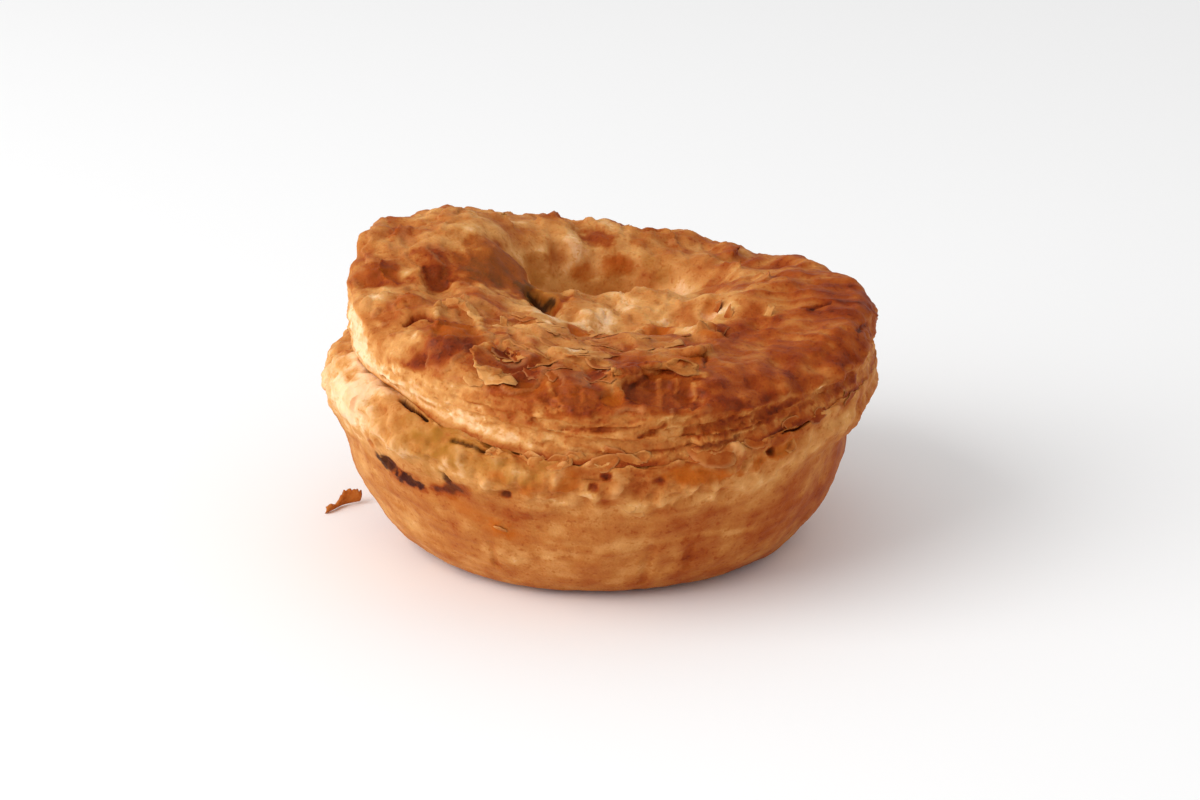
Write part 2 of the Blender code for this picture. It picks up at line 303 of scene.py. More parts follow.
solid_lid = np.array([v.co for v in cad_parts["lid"].data.vertices]) / MM
solid_lid = solid_lid[radius_of(solid_lid) > JOINT_RADIUS_MM]
joint_heights = sample_round(solid_lid, solid_lid[:, 2], np.min)
print("joint height in mm, from", joint_heights.min().round(1), "to", joint_heights.max().round(1))


def above_joint(points):
    """Height over the joint in millimetres, below it negative."""
    return points[:, 2] - read_round(points, joint_heights)


# %% [markdown]
# ## Marks
#
# A baked pie has marks that belong to one place: a torn window, a burnt spot, a stain of sauce. Each
# is named here with the pixel of the photograph where it shows, its width and height in millimetres
# along the surface, and its tilt. A sight line through the pixel finds the spot on the pie, and from
# there on the mark is a patch in space, so it stays where it is from every side. A long thin mark,
# such as a crack, is a stroke through several pixels.

# %% Placing a mark
MARK_DEPTH = 0.6
PATCH_RAGS_MM = 2.4
STROKE_RAGS_MM = 2.0
surfaces = [BVHTree.FromObject(part, bpy.context.evaluated_depsgraph_get()) for part in (lid, case)]


def seen_at(px, py):
    """The nearest point of the pie on a sight line, in millimetres, and its outward direction."""
    hits = [tree.ray_cast(camera.location, sight_line(px, py)) for tree in surfaces]
    hits = [hit for hit in hits if hit[0] is not None]
    if not hits:
        raise ValueError(f"nothing of the pie shows at {px}, {py}")
    place, normal, _, _ = min(hits, key=lambda hit: hit[3])
    return np.array(place) / MM, np.array(normal)


def surface_ways(normal, tilt):
    """The directions across and up a surface as the photograph shows it, turned by a tilt in degrees."""
    across = np.cross(camera_up, normal)
    across /= np.linalg.norm(across)
    upward = np.cross(normal, across)
    turn = math.radians(tilt)
    return (
        across * math.cos(turn) + upward * math.sin(turn),
        upward * math.cos(turn) - across * math.sin(turn),
    )


def patch(points, mark, ragged=0.35, softness=0.25):
    """1 inside a mark and 0 outside it, with a ragged edge. A mark is px, py, width, height, tilt."""
    px, py, width, height, tilt = mark
    centre, normal = seen_at(px, py)
    along, over = surface_ways(normal, tilt)
    away = points - centre
    near = np.abs(away).max(axis=1) < max(width, height)
    result = np.zeros(len(points))
    offset = away[near]
    reach = np.sqrt(
        (offset @ along / (width / 2)) ** 2
        + (offset @ over / (height / 2)) ** 2
        + (offset @ normal / (MARK_DEPTH * max(width, height))) ** 2
    )
    reach += ragged * crumple(points[near], PATCH_RAGS_MM, 5)
    result[near] = 1 - ease(1 - softness, 1 + softness, reach)
    return result


def stroke(points, pixels, width, ragged=0.3):
    """1 on a line through pixels of the photograph, and 0 beyond half its width in millimetres."""
    corners = [seen_at(*pixel)[0] for pixel in pixels]
    nearest = np.full(len(points), np.inf)
    for start, end in zip(corners, corners[1:]):
        along = end - start
        share = np.clip((points - start) @ along / (along @ along), 0, 1)
        gap = np.linalg.norm(points - start - share[:, None] * along, axis=1)
        nearest = np.minimum(nearest, gap)
    nearest /= width / 2
    near = nearest < 2
    nearest[near] += ragged * crumple(points[near], STROKE_RAGS_MM, 6)
    return 1 - ease(0.6, 1.1, nearest)


def greatest(points, marks, **edge):
    """The greatest of a table's marks at each point, each times its amount."""
    return np.maximum.reduce([amount * patch(points, mark, **edge) for mark, amount in marks.values()])


def greatest_stroke(points, lines, width, ragged=0.3):
    """The greatest of several strokes at each point."""
    return np.maximum.reduce([stroke(points, line, width, ragged) for line in lines])


print("the front edge of the lid is at", seen_at(600, 400)[0].round(1), "mm")

# %% [markdown]
# ## Torn layers
#
# Puff pastry bakes into thin sheets. Where they tear they overlap like scales, a few tenths of a
# millimetre deep, each one climbing slowly to a curled edge and then dropping to the next. Scales
# could be modelled one by one, but a crust has hundreds, so most are cut into the surface: a smooth
# noise is multiplied and only its fraction is kept, which gives just that slow climb and sudden drop.

# %% Torn layers
CURLED_EDGE = 0.88


def torn(climb):
    """Height from 0 to 1 that climbs slowly and drops, and how near a point is to the curled edge."""
    share = climb - np.floor(climb)
    height = np.where(share < CURLED_EDGE, share / CURLED_EDGE, (1 - share) / (1 - CURLED_EDGE))
    return height, ease(0.75 * CURLED_EDGE, CURLED_EDGE, share)


def layered(points, heights, pitch, length, seed):
    """Level streaks from -1 to 1, as dough shows where its layers are cut: pitch and length in mm."""
    squeezed = np.column_stack([points[:, 0], points[:, 1], heights * length / pitch])
    return crumple(squeezed, length, seed)


print("a scale's height along its way:", torn(np.array([0.2, 0.5, 0.8, 0.95]))[0].round(2))

# %% [markdown]
# ## The lid's relief
#
# The top is crags and scales, the side is level layers, and both have named features: a deep pit and
# a glossy blister at the left, two torn windows at the front, the vent. All of it moves points along
# the surface's own direction, which a Displace modifier would do too, but in numbers the same relief
# can also say where the crust browns.

# %% Features of the lid
# Each hollow, window and swell is a mark with its depth or height in millimetres.
LID_HOLLOWS = {
    "left pit": ((438, 282, 6, 6, 0), 1.7),
    "left groove": ((383, 274, 9, 3.4, 5), 0.7),
    "hollow in the middle": ((579, 331, 4.5, 4.5, 0), 2.0),
    "second hollow": ((656, 332, 6.5, 5, 10), 1.6),
    "hollow under a chip": ((722, 326, 3, 5, 0), 1.2),
    "small hollow": ((711, 310, 3, 5, 0), 1.0),
    "hollow beside the bright flake": ((760, 322, 3, 4, 0), 0.7),
    "hollow at the right": ((781, 362, 4, 4, 0), 0.5),
    "hollow of the far wall": ((557, 252, 4, 9, 0), 0.7),
    "second hollow of the far wall": ((592, 256, 4, 9, 0), 0.7),
    "third hollow of the far wall": ((628, 262, 5, 8, 0), 0.7),
}
LID_WINDOWS = {
    "window in the blister": ((457, 331, 9.0, 6.0, -8), 0.6),
    "front window": ((664, 395, 15.5, 7.4, 0), 1.3),
    "window beside it": ((573, 397, 11, 5, -4), 1.1),
    "torn spot beside the pale flake": ((524, 383, 6.0, 2.6, 4), 0.7),
    "small window": ((611, 399, 4.2, 3.6, 0), 0.8),
}
LID_SWELLS = {
    "blister": ((453, 335, 10, 9, 0), 1.3),
    "blister's shoulder": ((441, 345, 7, 5, 20), 0.7),
    "lip over the cavity": ((428, 311, 9, 3.4, 18), 0.9),
    "lump in the middle": ((588, 311, 11, 9, 0), 1.5),
    "lump beside it": ((646, 307, 11, 9, 0), 1.4),
    "right roll": ((846, 344, 9, 14, -60), 0.9),
    "flap over the front window": ((676, 358, 13, 8, -8), 0.9),
    "between the windows": ((620, 380, 5, 9, 0), 0.8),
    "upper left lump": ((400, 300, 12, 9, 0), 0.7),
    "lobe of the far wall": ((537, 246, 6, 9, 0), 0.7),
    "second lobe of the far wall": ((573, 252, 6, 9, 0), 0.6),
    "third lobe of the far wall": ((610, 256, 6, 9, 0), 0.7),
    "fourth lobe of the far wall": ((645, 268, 6, 9, 0), 0.6),
    "top edge bump": ((587, 223, 6, 6, 0), 0.8),
    "second edge bump": ((641, 233, 5, 6, 0), 0.8),
}
LID_CALM = [
    (664, 393, 18, 9, 0), (676, 356, 15, 9, -8), (452, 336, 13, 12, 0), (573, 396, 12, 7, -4),
    (845, 350, 18, 22, -60), (800, 350, 14, 12, 0), (424, 318, 12, 9, 0), (640, 366, 10, 7, 0),
    (714, 384, 11, 12, 0), (385, 272, 13, 9, 5), (440, 281, 9, 9, 0), (500, 268, 16, 22, 0),
]
WINDOW_RIDGES = [
    [(659, 379), (660, 388), (659, 399)], [(693, 385), (694, 395)], [(676, 380), (677, 388)],
    [(582, 389), (583, 399)], [(548, 384), (554, 396), (561, 405)],
]
CAVITY = [(406, 325), (414, 319), (426, 317), (437, 320)]
LID_LIP = [(358, 352), (376, 376), (402, 397), (432, 416), (470, 434), (512, 446), (560, 452)]
BLISTER_CREST = [(436, 316), (443, 306), (453, 303), (466, 306), (477, 315), (481, 330)]
VENT = (541, 303, 5.5, 7.5, 0)
WINDOW_ARCH = [(626, 398), (633, 385), (645, 376), (664, 371), (681, 374), (703, 379)]
FLAP_EDGE = [(629, 380), (644, 371), (664, 366), (682, 369), (704, 374)]
# The vent's dark crescent, where shade is painted.
VENT_SHADE_LINE = [(529, 298), (535, 304), (543, 309), (552, 303)]
VENT_DEPTH_MM = 3.4
CRUST_EDGE_MM = 10.3
CRUST_EDGE_DROP_MM = 5.5
GROOVE_UNDER_CRUST = [(690, 431), (730, 424), (780, 411), (820, 396), (852, 378)]
LID_CRACKS = [
    [(804, 309), (812, 310), (818, 305), (830, 303)],
    [(856, 334), (862, 327), (868, 323)],
    [(700, 352), (706, 360), (704, 368)],
    [(640, 437), (655, 432), (668, 424)],
]
SIDE_CRACKS = [
    [(640, 455), (668, 451), (700, 446)],
    [(560, 428), (600, 431), (640, 428)],
    [(700, 437), (735, 432), (765, 424)],
]

# %% The lid's top, side and bowl
BOWL_MIDDLE_MM = 15
BOWL_REACH_MM = (22, 15)
lid_points = read_points(lid.data)
lid_normals = read_normals(lid.data)
lid_over_joint = above_joint(lid_points)
from_axis = radius_of(lid_points)
lid_on_top = ease(0.25, 0.60, neighbour_mean(lid.data, neighbour_mean(lid.data, lid_normals[:, 2])))
lid_outer = ease(38, 43, from_axis)
lid_on_side = (1 - lid_on_top) * lid_outer * ease(-0.75, -0.3, lid_normals[:, 2])
over_bowl = (lid_points[:, :2] - (0, BOWL_MIDDLE_MM)) / BOWL_REACH_MM
lid_in_middle = 1 - ease(0.85, 1.35, radius_of(over_bowl))
at_right = ease(12, 34, lid_points[:, 0])
lid_calm = np.maximum.reduce([patch(lid_points, mark, ragged=0.15, softness=0.35) for mark in LID_CALM])
print("the lid has", int((lid_on_side > 0.5).sum()), "points on its side and",
      int((lid_in_middle > 0.5).sum()), "in its bowl")

# %% Crags, scales and wrinkles of the top
CRAG_MM = 0.65
FINE_CRAG_MM = 0.13
SCALE_MM = 0.55
SMALL_SCALE_MM = 0.15
MEAN_SCALE_MM = 0.32
WRINKLE_MM = 0.28
lid_crags = crumple(lid_points, 9.0, 11, octaves=2)
scales, scale_edges = torn(1.4 * crumple(lid_points, 13.0, 21))
small_scales, _ = torn(0.9 * crumple(lid_points, 7.0, 23))
scaly = lid_on_top * (1 - 0.85 * lid_in_middle) * (1 - 0.65 * at_right) * (1 - 0.9 * lid_calm)
smooth_dough = np.maximum(lid_calm, lid_in_middle)
lid_lift = lid_on_top * (1 - 0.7 * lid_calm) * CRAG_MM * lid_crags
fine_crags = crumple(lid_points, 3.0, 15, octaves=2)
lid_lift += lid_on_top * FINE_CRAG_MM * fine_crags * (1 - 0.6 * smooth_dough)
lid_lift += scaly * (SCALE_MM * scales + SMALL_SCALE_MM * small_scales - MEAN_SCALE_MM)
wrinkled = np.column_stack([angle_of(lid_points) * 45, from_axis / 5, lid_points[:, 2] / 4])
lid_wrinkles = crumple(wrinkled, 2.4, 39, octaves=2)
lid_lift += WRINKLE_MM * ease(20, 36, lid_points[:, 0]) * ease(22, 34, from_axis) * lid_wrinkles
print("the top's relief runs from", lid_lift.min().round(2), "to", lid_lift.max().round(2), "mm")

# %% Layers of the side
LAYER_MM = 0.14
WAVE_MM = 0.30
LEDGE_MM = 0.45
LEDGE_PITCH_MM = 2.1
GRANULE_MM = 0.13
CRUST_STEP_MM = 0.8
lid_layers = layered(lid_points, lid_over_joint, 0.9, 7.0, 31)
ledges, _ = torn(0.8 * crumple(lid_points, 7.0, 41) - lid_over_joint / LEDGE_PITCH_MM)
broken = ease(-0.2, 0.5, crumple(lid_points, 9.0, 45))
side_lift = LAYER_MM * lid_layers + WAVE_MM * crumple(lid_points, 5.0, 33)
side_lift += LEDGE_MM * broken * (ledges - 0.5)
side_lift += GRANULE_MM * crumple(lid_points, 1.4, 43, octaves=2)
crust_edge = CRUST_EDGE_MM - CRUST_EDGE_DROP_MM * ease(0, 50, lid_points[:, 0])
crust_edge += 1.1 * crumple(lid_points, 5.0, 35)
crust = ease(-0.4, 0.4, lid_over_joint - crust_edge) * ease(-42, -25, lid_points[:, 0])
side_lift += CRUST_STEP_MM * (crust - 0.5)
lid_lift += lid_on_side * side_lift
print("the crust hangs over", round(float((crust * lid_on_side > 0.5).mean() * 100)), "% of the points")

# %% Hollows, windows and cracks
GROOVE_DEPTH_MM = 0.6
CRACK_DEPTH_MM = 0.5
CAVITY_DEPTH_MM = 1.2
WINDOW_RIDGE_MM = 0.25
CREST_MM = 0.45
FLAP_EDGE_MM = 0.5
lid_hollow = greatest(lid_points, LID_HOLLOWS, softness=0.5)
lid_swell = greatest(lid_points, LID_SWELLS, softness=0.6)
windows = {}
for name, (mark, _) in LID_WINDOWS.items():
    windows[name] = patch(lid_points, mark, ragged=0.13, softness=0.10)
lid_window = np.maximum.reduce([depth * windows[name] for name, (_, depth) in LID_WINDOWS.items()])
lid_lift += lid_swell * (1 - np.minimum(lid_window, 1)) - np.maximum(lid_hollow, lid_window)
lid_cracks = greatest_stroke(lid_points, LID_CRACKS + SIDE_CRACKS, 0.9)
lid_lift -= GROOVE_DEPTH_MM * stroke(lid_points, GROOVE_UNDER_CRUST, 2.6) + CRACK_DEPTH_MM * lid_cracks

window = np.maximum(windows["front window"], windows["window beside it"])
upright = lid_points * (1, 1, 0.2)
window_ridges = 0.5 * window * ease(0.0, 0.5, lumps(upright, 1.5, 37))
window_ridges = np.maximum(window_ridges, greatest_stroke(lid_points, WINDOW_RIDGES, 1.1))
cavity = stroke(lid_points, CAVITY, 1.2)
blister_crest = stroke(lid_points, BLISTER_CREST, 1.8, ragged=0.6)
lid_lift += WINDOW_RIDGE_MM * window_ridges + FLAP_EDGE_MM * stroke(lid_points, FLAP_EDGE, 3.0)
lid_lift += CREST_MM * blister_crest - CAVITY_DEPTH_MM * cavity

# %% The vent, and the new surface
RESTING_DROP_MM = 0.5
vent = patch(lid_points, VENT, ragged=0.15, softness=0.45)
resting = lid_outer * (1 - ease(0.4, 1.6, lid_over_joint)) * ease(-0.9, 0.2, lid_normals[:, 2])
sunk = np.column_stack([0 * vent, 0.4 * vent, -vent]) * VENT_DEPTH_MM
sunk[:, 2] -= RESTING_DROP_MM * resting
write_points(lid.data, lid_points + lid_normals * lid_lift[:, None] + sunk)
print("the lid's relief runs from", lid_lift.min().round(2), "to", lid_lift.max().round(2), "mm")

# %% [markdown]
# ## Pinching the joint shut
#
# The two solids keep a gap, and their rounded edges leave a groove between them. On the real pie the
# lid was pressed onto the case and most of the groove baked shut. So points near the joint are moved
# out to a smooth wall between the side above and the side below, except where the joint gapes.

# %% Pinching the joint
PINCH_ABOVE_MM = 2.6
PINCH_BELOW_MM = 2.6
FULL_PINCH_MM = 1.8
WALL_CLEARANCE_MM = 0.1
LEVEL_REACH_MM = 0.6
WIDEST_GROOVE_MM = (4.0, 9.0)


def wall_radius(points, heights, level):
    """The pie's radius at one height from the joint, for each of the sampled angles."""
    at_level = points[np.abs(heights - level) < LEVEL_REACH_MM]
    return sample_round(at_level, radius_of(at_level), np.max)


case_points = read_points(case.data)
radius_above = wall_radius(lid_points, lid_over_joint, PINCH_ABOVE_MM)
radius_below = wall_radius(case_points, above_joint(case_points), -PINCH_BELOW_MM)
print("the lid's wall stands", (radius_above - radius_below).round(1)[::6], "mm proud of the case's")


def pinched(points, gap):
    """How far each point moves out from the axis to close the joint's groove, in millimetres."""
    height = above_joint(points)
    rise = ease(-PINCH_BELOW_MM, PINCH_ABOVE_MM, height)
    wall = read_round(points, radius_below) * (1 - rise) + read_round(points, radius_above) * rise
    short = np.clip(wall - WALL_CLEARANCE_MM - radius_of(points), 0, None)
    near_joint = ease(-PINCH_BELOW_MM, -FULL_PINCH_MM, height)
    near_joint *= ease(PINCH_ABOVE_MM, FULL_PINCH_MM, height)
    pressed = ease(-30, -12, points[:, 0] - 0.3 * points[:, 1])
    narrow = 1 - ease(*WIDEST_GROOVE_MM, short)
    return short * near_joint * pressed * narrow * (1 - gap)


# %% [markdown]
# ## The case's relief
#
# The case stood in a tin, so its wall is smooth, with faint folds where the dough was pressed in. Its
# upper third rose over the tin's rim and is crumbly. Sauce has dried on it, and at the left the joint
# gapes.

# %% Features of the case
# Lines are pixels of the photograph, and each hollow and swell has its depth or height in millimetres.
JOINT_LINE = [
    (505, 455), (528, 459), (552, 461), (576, 462), (600, 462), (624, 461), (648, 459), (670, 455),
    (700, 448), (735, 443), (775, 433), (800, 424), (825, 411), (845, 398),
]
CASE_HOLLOWS = {
    "burn": ((398, 470, 8, 3.0, -32), 0.7),
    "small burn": ((446, 478, 1.6, 2.2, 0), 0.6),
    "pit at the left": ((372, 443, 2.2, 1.6, 0), 0.6),
    "pit under the rim": ((508, 494, 1.6, 1.4, 0), 0.7),
    "pit": ((593, 488, 1.8, 1.6, 0), 0.6),
    "upper pit": ((606, 476, 1.5, 1.3, 0), 0.6),
    "right pit": ((769, 450, 1.8, 1.4, 0), 0.7),
    "torn hollow at the right": ((757, 464, 3.0, 2.0, 30), 0.8),
    "torn hollow beside it": ((786, 446, 4.0, 2.2, 40), 0.7),
}
CASE_SWELLS = {
    "crumb lump": ((530, 482, 9, 5, -8), 0.9),
    "second crumb lump": ((548, 492, 5, 3.5, 0), 0.7),
    "left lump": ((352, 362, 6, 8, 0), 0.8),
    "lump under the crack": ((405, 432, 8, 6, -20), 0.8),
    "fold": ((500, 528, 3.6, 3.0, 30), 0.45),
    "right bulge": ((852, 420, 9, 9, 0), 0.5),
}
CASE_FOLDS = [[(652, 548), (646, 566), (642, 582)], [(690, 546), (686, 566)], [(490, 545), (497, 566)]]
# Where the joint gapes or closes tight, and along the line over the round chip, a gap is cut and shade is
# painted in it.
OPEN_JOINT = [[(404, 402), (414, 409), (424, 415), (430, 419)]]
TIGHT_JOINT = [[(455, 440), (484, 449), (496, 453)], [(777, 431), (790, 427), (800, 420)]]
CHIP_LINE = [(689, 446), (714, 443), (739, 436)]
JOINT_CHIPS = [((713, 455, 11.0, 6.4, -6), 1.3), ((754, 441, 4.6, 3.6, -20), 0.9)]

# %% Crumbs and smears of the case
CRUMB_MM = 0.80
FINE_CRUMB_MM = 0.16
CASE_WAVE_MM = 0.22
UPRIGHT_MM = 0.06
SMEAR_MM = 0.10
FOOT_EDGE_MM = (29.8, 30.2)
case_normals = read_normals(case.data)
case_over_joint = above_joint(case_points)
case_radius = radius_of(case_points)
case_outer = ease(*FOOT_EDGE_MM, case_radius)
crumbly = ease(-11.0, -5.5, case_over_joint + 2.0 * crumple(case_points, 9.0, 51)) * case_outer
crumbly *= 0.45 + 0.55 * ease(42, 25, case_points[:, 0]) * ease(15, -5, case_points[:, 1])
case_crumbs = crumple(case_points, 3.6, 53) * (1 - 0.8 * stroke(case_points, OPEN_JOINT[0], 8.0))
fine_crumbs = crumple(case_points, 1.8, 55, octaves=2)
case_lift = crumbly * (CRUMB_MM * case_crumbs + FINE_CRUMB_MM * fine_crumbs)
case_lift += CASE_WAVE_MM * crumple(case_points, 13.0, 57) * case_outer
tin_wall = case_outer * (1 - crumbly)
case_upright = case_points * (1, 1, 0.25)
case_lift += UPRIGHT_MM * crumple(case_upright, 3.0, 59, octaves=2) * tin_wall
case_smears = layered(case_points, case_over_joint, 2.2, 14.0, 61)
case_lift += SMEAR_MM * case_smears * tin_wall
print(int((crumbly > 0.5).sum()), "points of the case are crumbly")

# %% Hollows, folds and gaps
FOLD_DEPTH_MM = 0.35
LIP_MM = 0.7
GAP_DEPTH_MM = 1.2
case_hollow = greatest(case_points, CASE_HOLLOWS)
case_swell = greatest(case_points, CASE_SWELLS, softness=0.6)
case_folds = greatest_stroke(case_points, CASE_FOLDS, 1.8)
case_lift += case_swell - case_hollow - FOLD_DEPTH_MM * case_folds


def joint_gaps(points):
    """How open the joint is at each point of the lid or the case, and the groove over the chip: it cuts the
    gaps and sets their painted shade.
    """
    gaping = greatest_stroke(points, OPEN_JOINT, 1.7, ragged=0.15)
    tight = 0.7 * greatest_stroke(points, TIGHT_JOINT, 0.9)
    return np.maximum.reduce([gaping, tight, 0.35 * stroke(points, CHIP_LINE, 1.3)])


case_gap = joint_gaps(case_points)
lid_gap = joint_gaps(lid_points)
lip_top = ease(42, 45, case_radius) * ease(-2.2, -0.6, case_over_joint)
case_lift += LIP_MM * lip_top * (1 - case_gap) - GAP_DEPTH_MM * case_gap
print("the joint gapes at", int((case_gap > 0.5).sum()), "points of the case")

# %% Crumbs and chips over the joint
BRIDGE_MM = 0.45
SEAM_HEIGHTS_MM = (2.6, 1.2)
SEAM_SMOOTHING_ROUNDS = 2


def joint_crumbs(points):
    """Crumbs that bridge the joint at the front, the same for the lid and the case."""
    height = above_joint(points)
    near = ease(-4.0, -1.0, height) * ease(3.5, 1.0, height)
    near *= ease(40, 44, radius_of(points)) * ease(-26, -12, points[:, 0])
    return BRIDGE_MM * near * crumple(points, 3.0, 63, octaves=2)


def joint_chips(points):
    """Round scales of dough that lie over the joint at the right, in millimetres."""
    chips = [height * patch(points, mark, 0.06, 0.10) for mark, height in JOINT_CHIPS]
    return np.maximum.reduce(chips)


def outward(points):
    """The level direction away from the pie's axis."""
    level = points * (1, 1, 0)
    return level / np.maximum(np.linalg.norm(level, axis=1), 1)[:, None]


def smooth_seam(mesh, points):
    """Evens out the points nearest to the joint and gives the mesh its new points."""
    seam = ease(*SEAM_HEIGHTS_MM, np.abs(above_joint(points)))
    for _ in range(SEAM_SMOOTHING_ROUNDS):
        points += 0.5 * seam[:, None] * (neighbour_mean(mesh, points) - points)
    write_points(mesh, points)


case_lift += joint_crumbs(case_points) * (1 - case_gap) + joint_chips(case_points)
case_out = pinched(case_points, case_gap)
case_now = case_points + case_normals * case_lift[:, None] + case_out[:, None] * outward(case_points)
case_now[:, 2] = np.maximum(case_now[:, 2], 0)
lid_out = pinched(lid_points, lid_gap) + joint_crumbs(lid_points) * (1 - lid_gap) + joint_chips(lid_points)
lid_now = read_points(lid.data) + lid_out[:, None] * outward(lid_points)
smooth_seam(case.data, case_now)
smooth_seam(lid.data, lid_now)
print("the case's relief runs from", case_lift.min().round(2), "to", case_lift.max().round(2), "mm")

# %% [markdown]
# ## Where the pie browned, and where shade is painted
#
# An oven browns what is high, thin and near the edge, and pale dough shows where layers tore after
# the crust had set. So the browning isn't painted at random: it is worked out from the relief and
# the place, and the named marks add what one spot has of its own. Some marks and strokes also paint
# shade into the colour: in the left pit and groove, on the crater's shaded walls and bowl, in the
# cavity, the cracks, the groove under the crust, under the flap, in the vent and in the gaps of the
# joint. A few paint a highlight, on the ridges in the windows and between them. Each kind of colour
# is a number stored on every point, and the material turns the numbers into colours.

# %% Marks in the lid's browning and painted shade
# Each mark has the amount of browning, or of painted shade or highlight, that it adds or takes away, or the
# strength of its colour.
BROWNED_AND_SHADED = {
    # browning and painted shade: the deep left pit is dark from both
    "left pit": ((439, 281, 6, 5, 0), 0.78),
    "shelf over the left pit": ((440, 264, 6, 6, 0), 0.16),
    "band beside the left pit": ((418, 278, 5, 4, 0), 0.20),
    "shade of the far wall": ((538, 250, 6, 4, 0), 0.10),
    # painted shade: the soft shadow along the left groove
    "left groove": ((382, 273, 9, 6, 10), 0.28),
    "left shading": ((432, 258, 8, 9, 0), 0.20),
    "left middle": ((420, 300, 12, 9, 0), 0.14),
    # painted shade, the next three marks: the crater's left wall and edge and the foot of its far wall lie
    # in shade
    "crater's left wall": ((504, 268, 15, 17, 0), 0.48),
    "crater's left edge": ((478, 282, 9, 9, 0), 0.16),
    "foot of the far wall": ((532, 270, 9, 7, 0), 0.22),
    "in front of the vent": ((520, 318, 10, 5, 0), 0.22),
    "under the front window": ((722, 403, 12, 5, -8), 0.22),
    "under the window beside it": ((565, 407, 15, 4, 0), 0.14),
    "crust at the left front": ((498, 405, 14, 4, -14), 0.16),
    "far patch": ((599, 236, 7, 7, 0), 0.40),
    "far spot": ((615, 265, 6, 4, 0), 0.24),
    "second far spot": ((583, 272, 5, 4, 0), 0.20),
    "third far spot": ((641, 241, 4, 4, 0), 0.22),
    "fourth far spot": ((688, 252, 3, 3, 0), 0.25),
    "fold of the far wall": ((558, 250, 4, 8, 0), 0.14),
    "top right edge": ((733, 250, 10, 6, -10), 0.12),
    "right field": ((712, 290, 9, 7, 0), 0.20),
    "far right field": ((805, 285, 20, 14, 0), 0.05),
    "blister": ((453, 335, 9, 8, 0), 0.18),
    "window in the blister": ((453, 336, 9.0, 6.0, -8), 0.10),
    "front window": ((664, 395, 15.5, 7.4, 0), 0.32),
    "window beside it": ((573, 397, 11, 5, -4), 0.24),
    "between the windows": ((616, 402, 10, 4, 0), 0.12),
    "torn spot beside the pale flake": ((524, 383, 6.5, 3.2, 4), 0.26),
    "red spot over it": ((518, 368, 5, 3, 0), 0.16),
    "shade in the window beside it": ((590, 402, 7, 2.4, 0), 0.12),
    "right of the front window": ((735, 392, 14, 8, 0), 0.06),
    "right crust": ((820, 345, 18, 14, -40), 0.06),
    "upper left": ((400, 245, 22, 14, 0), 0.03),
    "left top edge": ((450, 215, 14, 8, 0), 0.14),
    "middle hollow": ((580, 331, 4.5, 4, 0), 0.46),
    "second hollow": ((656, 332, 6.5, 4, 10), 0.34),
    "hollow under a chip": ((722, 326, 3, 5, 0), 0.25),
    "crust over the left joint": ((545, 375, 24, 6, -12), 0.05),
}
PALER = {
    "left wall": ((360, 308, 12, 16, 0), 0.22),
    "left of the cavity": ((401, 345, 9, 7, 0), 0.28),
    "peach lip of the blister": ((426, 340, 5, 5, 0), 0.10),
    "flap": ((668, 349, 11, 4, -8), 0.10),
    "right shoulder": ((800, 385, 12, 8, -20), 0.09),
    # painted highlight: a pale upright glint on the crust between the windows
    "between the windows": ((617, 384, 6, 8, 0), 0.26),
    "flake field": ((494, 372, 11, 5, 0), 0.20),
    "crest under the crater": ((555, 349, 22, 6, 0), 0.24),
    "lump in the middle": ((588, 311, 11, 9, 0), 0.06),
    "lump beside it": ((646, 307, 11, 9, 0), 0.08),
    "far wall at the right": ((660, 284, 8, 6, 0), 0.08),
    "lobe of the far wall": ((537, 246, 5, 7, 0), 0.10),
    "third lobe of the far wall": ((600, 272, 5, 5, 0), 0.10),
    "pale edge": ((768, 315, 3, 6, 0), 0.22),
    "pale layers": ((718, 315, 8, 7, 0), 0.14),
    "far right crest": ((760, 275, 14, 6, -20), 0.08),
    "lip over the cavity": ((428, 311, 9, 3.4, 18), 0.16),
}
LID_ORANGE = {
    "middle hollow": ((579, 331, 5.5, 5, 0), 0.9),
    "second hollow": ((656, 332, 6.5, 4.4, 10), 0.8),
    "front window": ((664, 395, 14, 7, 0), 0.16),
    "window beside it": ((573, 397, 11, 5, 0), 0.30),
    "left groove": ((378, 273, 8, 3, 5), 0.35),
    "small window": ((611, 399, 4.2, 3.6, 0), 0.7),
    "left pit": ((438, 282, 5, 5, 0), 0.15),
    "blister": ((456, 331, 9, 6.5, -8), 0.55),
    "flap": ((684, 360, 9, 5, -8), 0.40),
    "small hollow": ((711, 310, 3, 5, 0), 0.6),
    "front crust": ((530, 388, 9, 4, 0), 0.35),
    "far spot": ((615, 265, 6, 4, 0), 0.45),
    "second far spot": ((583, 272, 5, 4, 0), 0.4),
    "third far spot": ((641, 241, 4, 4, 0), 0.3),
    "left middle": ((415, 298, 9, 6, 0), 0.3),
    "orange layer": ((703, 330, 4, 4, 0), 0.7),
}
# Olive tint of the painted shade on the crater's shaded walls, in its bowl and in the vent.
LID_OLIVE_SHADE = {
    "crater's left wall": ((500, 266, 16, 18, 0), 0.26),
    "foot of the far wall": ((532, 270, 9, 7, 0), 0.30),
    "spot": ((648, 260, 3, 4, 0), 0.35),
    "second spot": ((665, 275, 4, 4, 0), 0.35),
    "vent's far wall": ((546, 297, 7, 5, 0), 0.55),
    "bowl": ((575, 285, 24, 5, 0), 0.30),
}
BOWL_SHADE = [(508, 285), (545, 290), (600, 292), (645, 285)]
BLISTER_GLOSS = (453, 335, 9, 8, 0)
KINDS = ("bake", "pale_edge", "gap", "stain", "sauce", "char", "glaze")


def add_marks(points, marks):
    """The sum of a table's marks, each times its amount."""
    return sum(amount * patch(points, mark, softness=0.45) for mark, amount in marks.values())


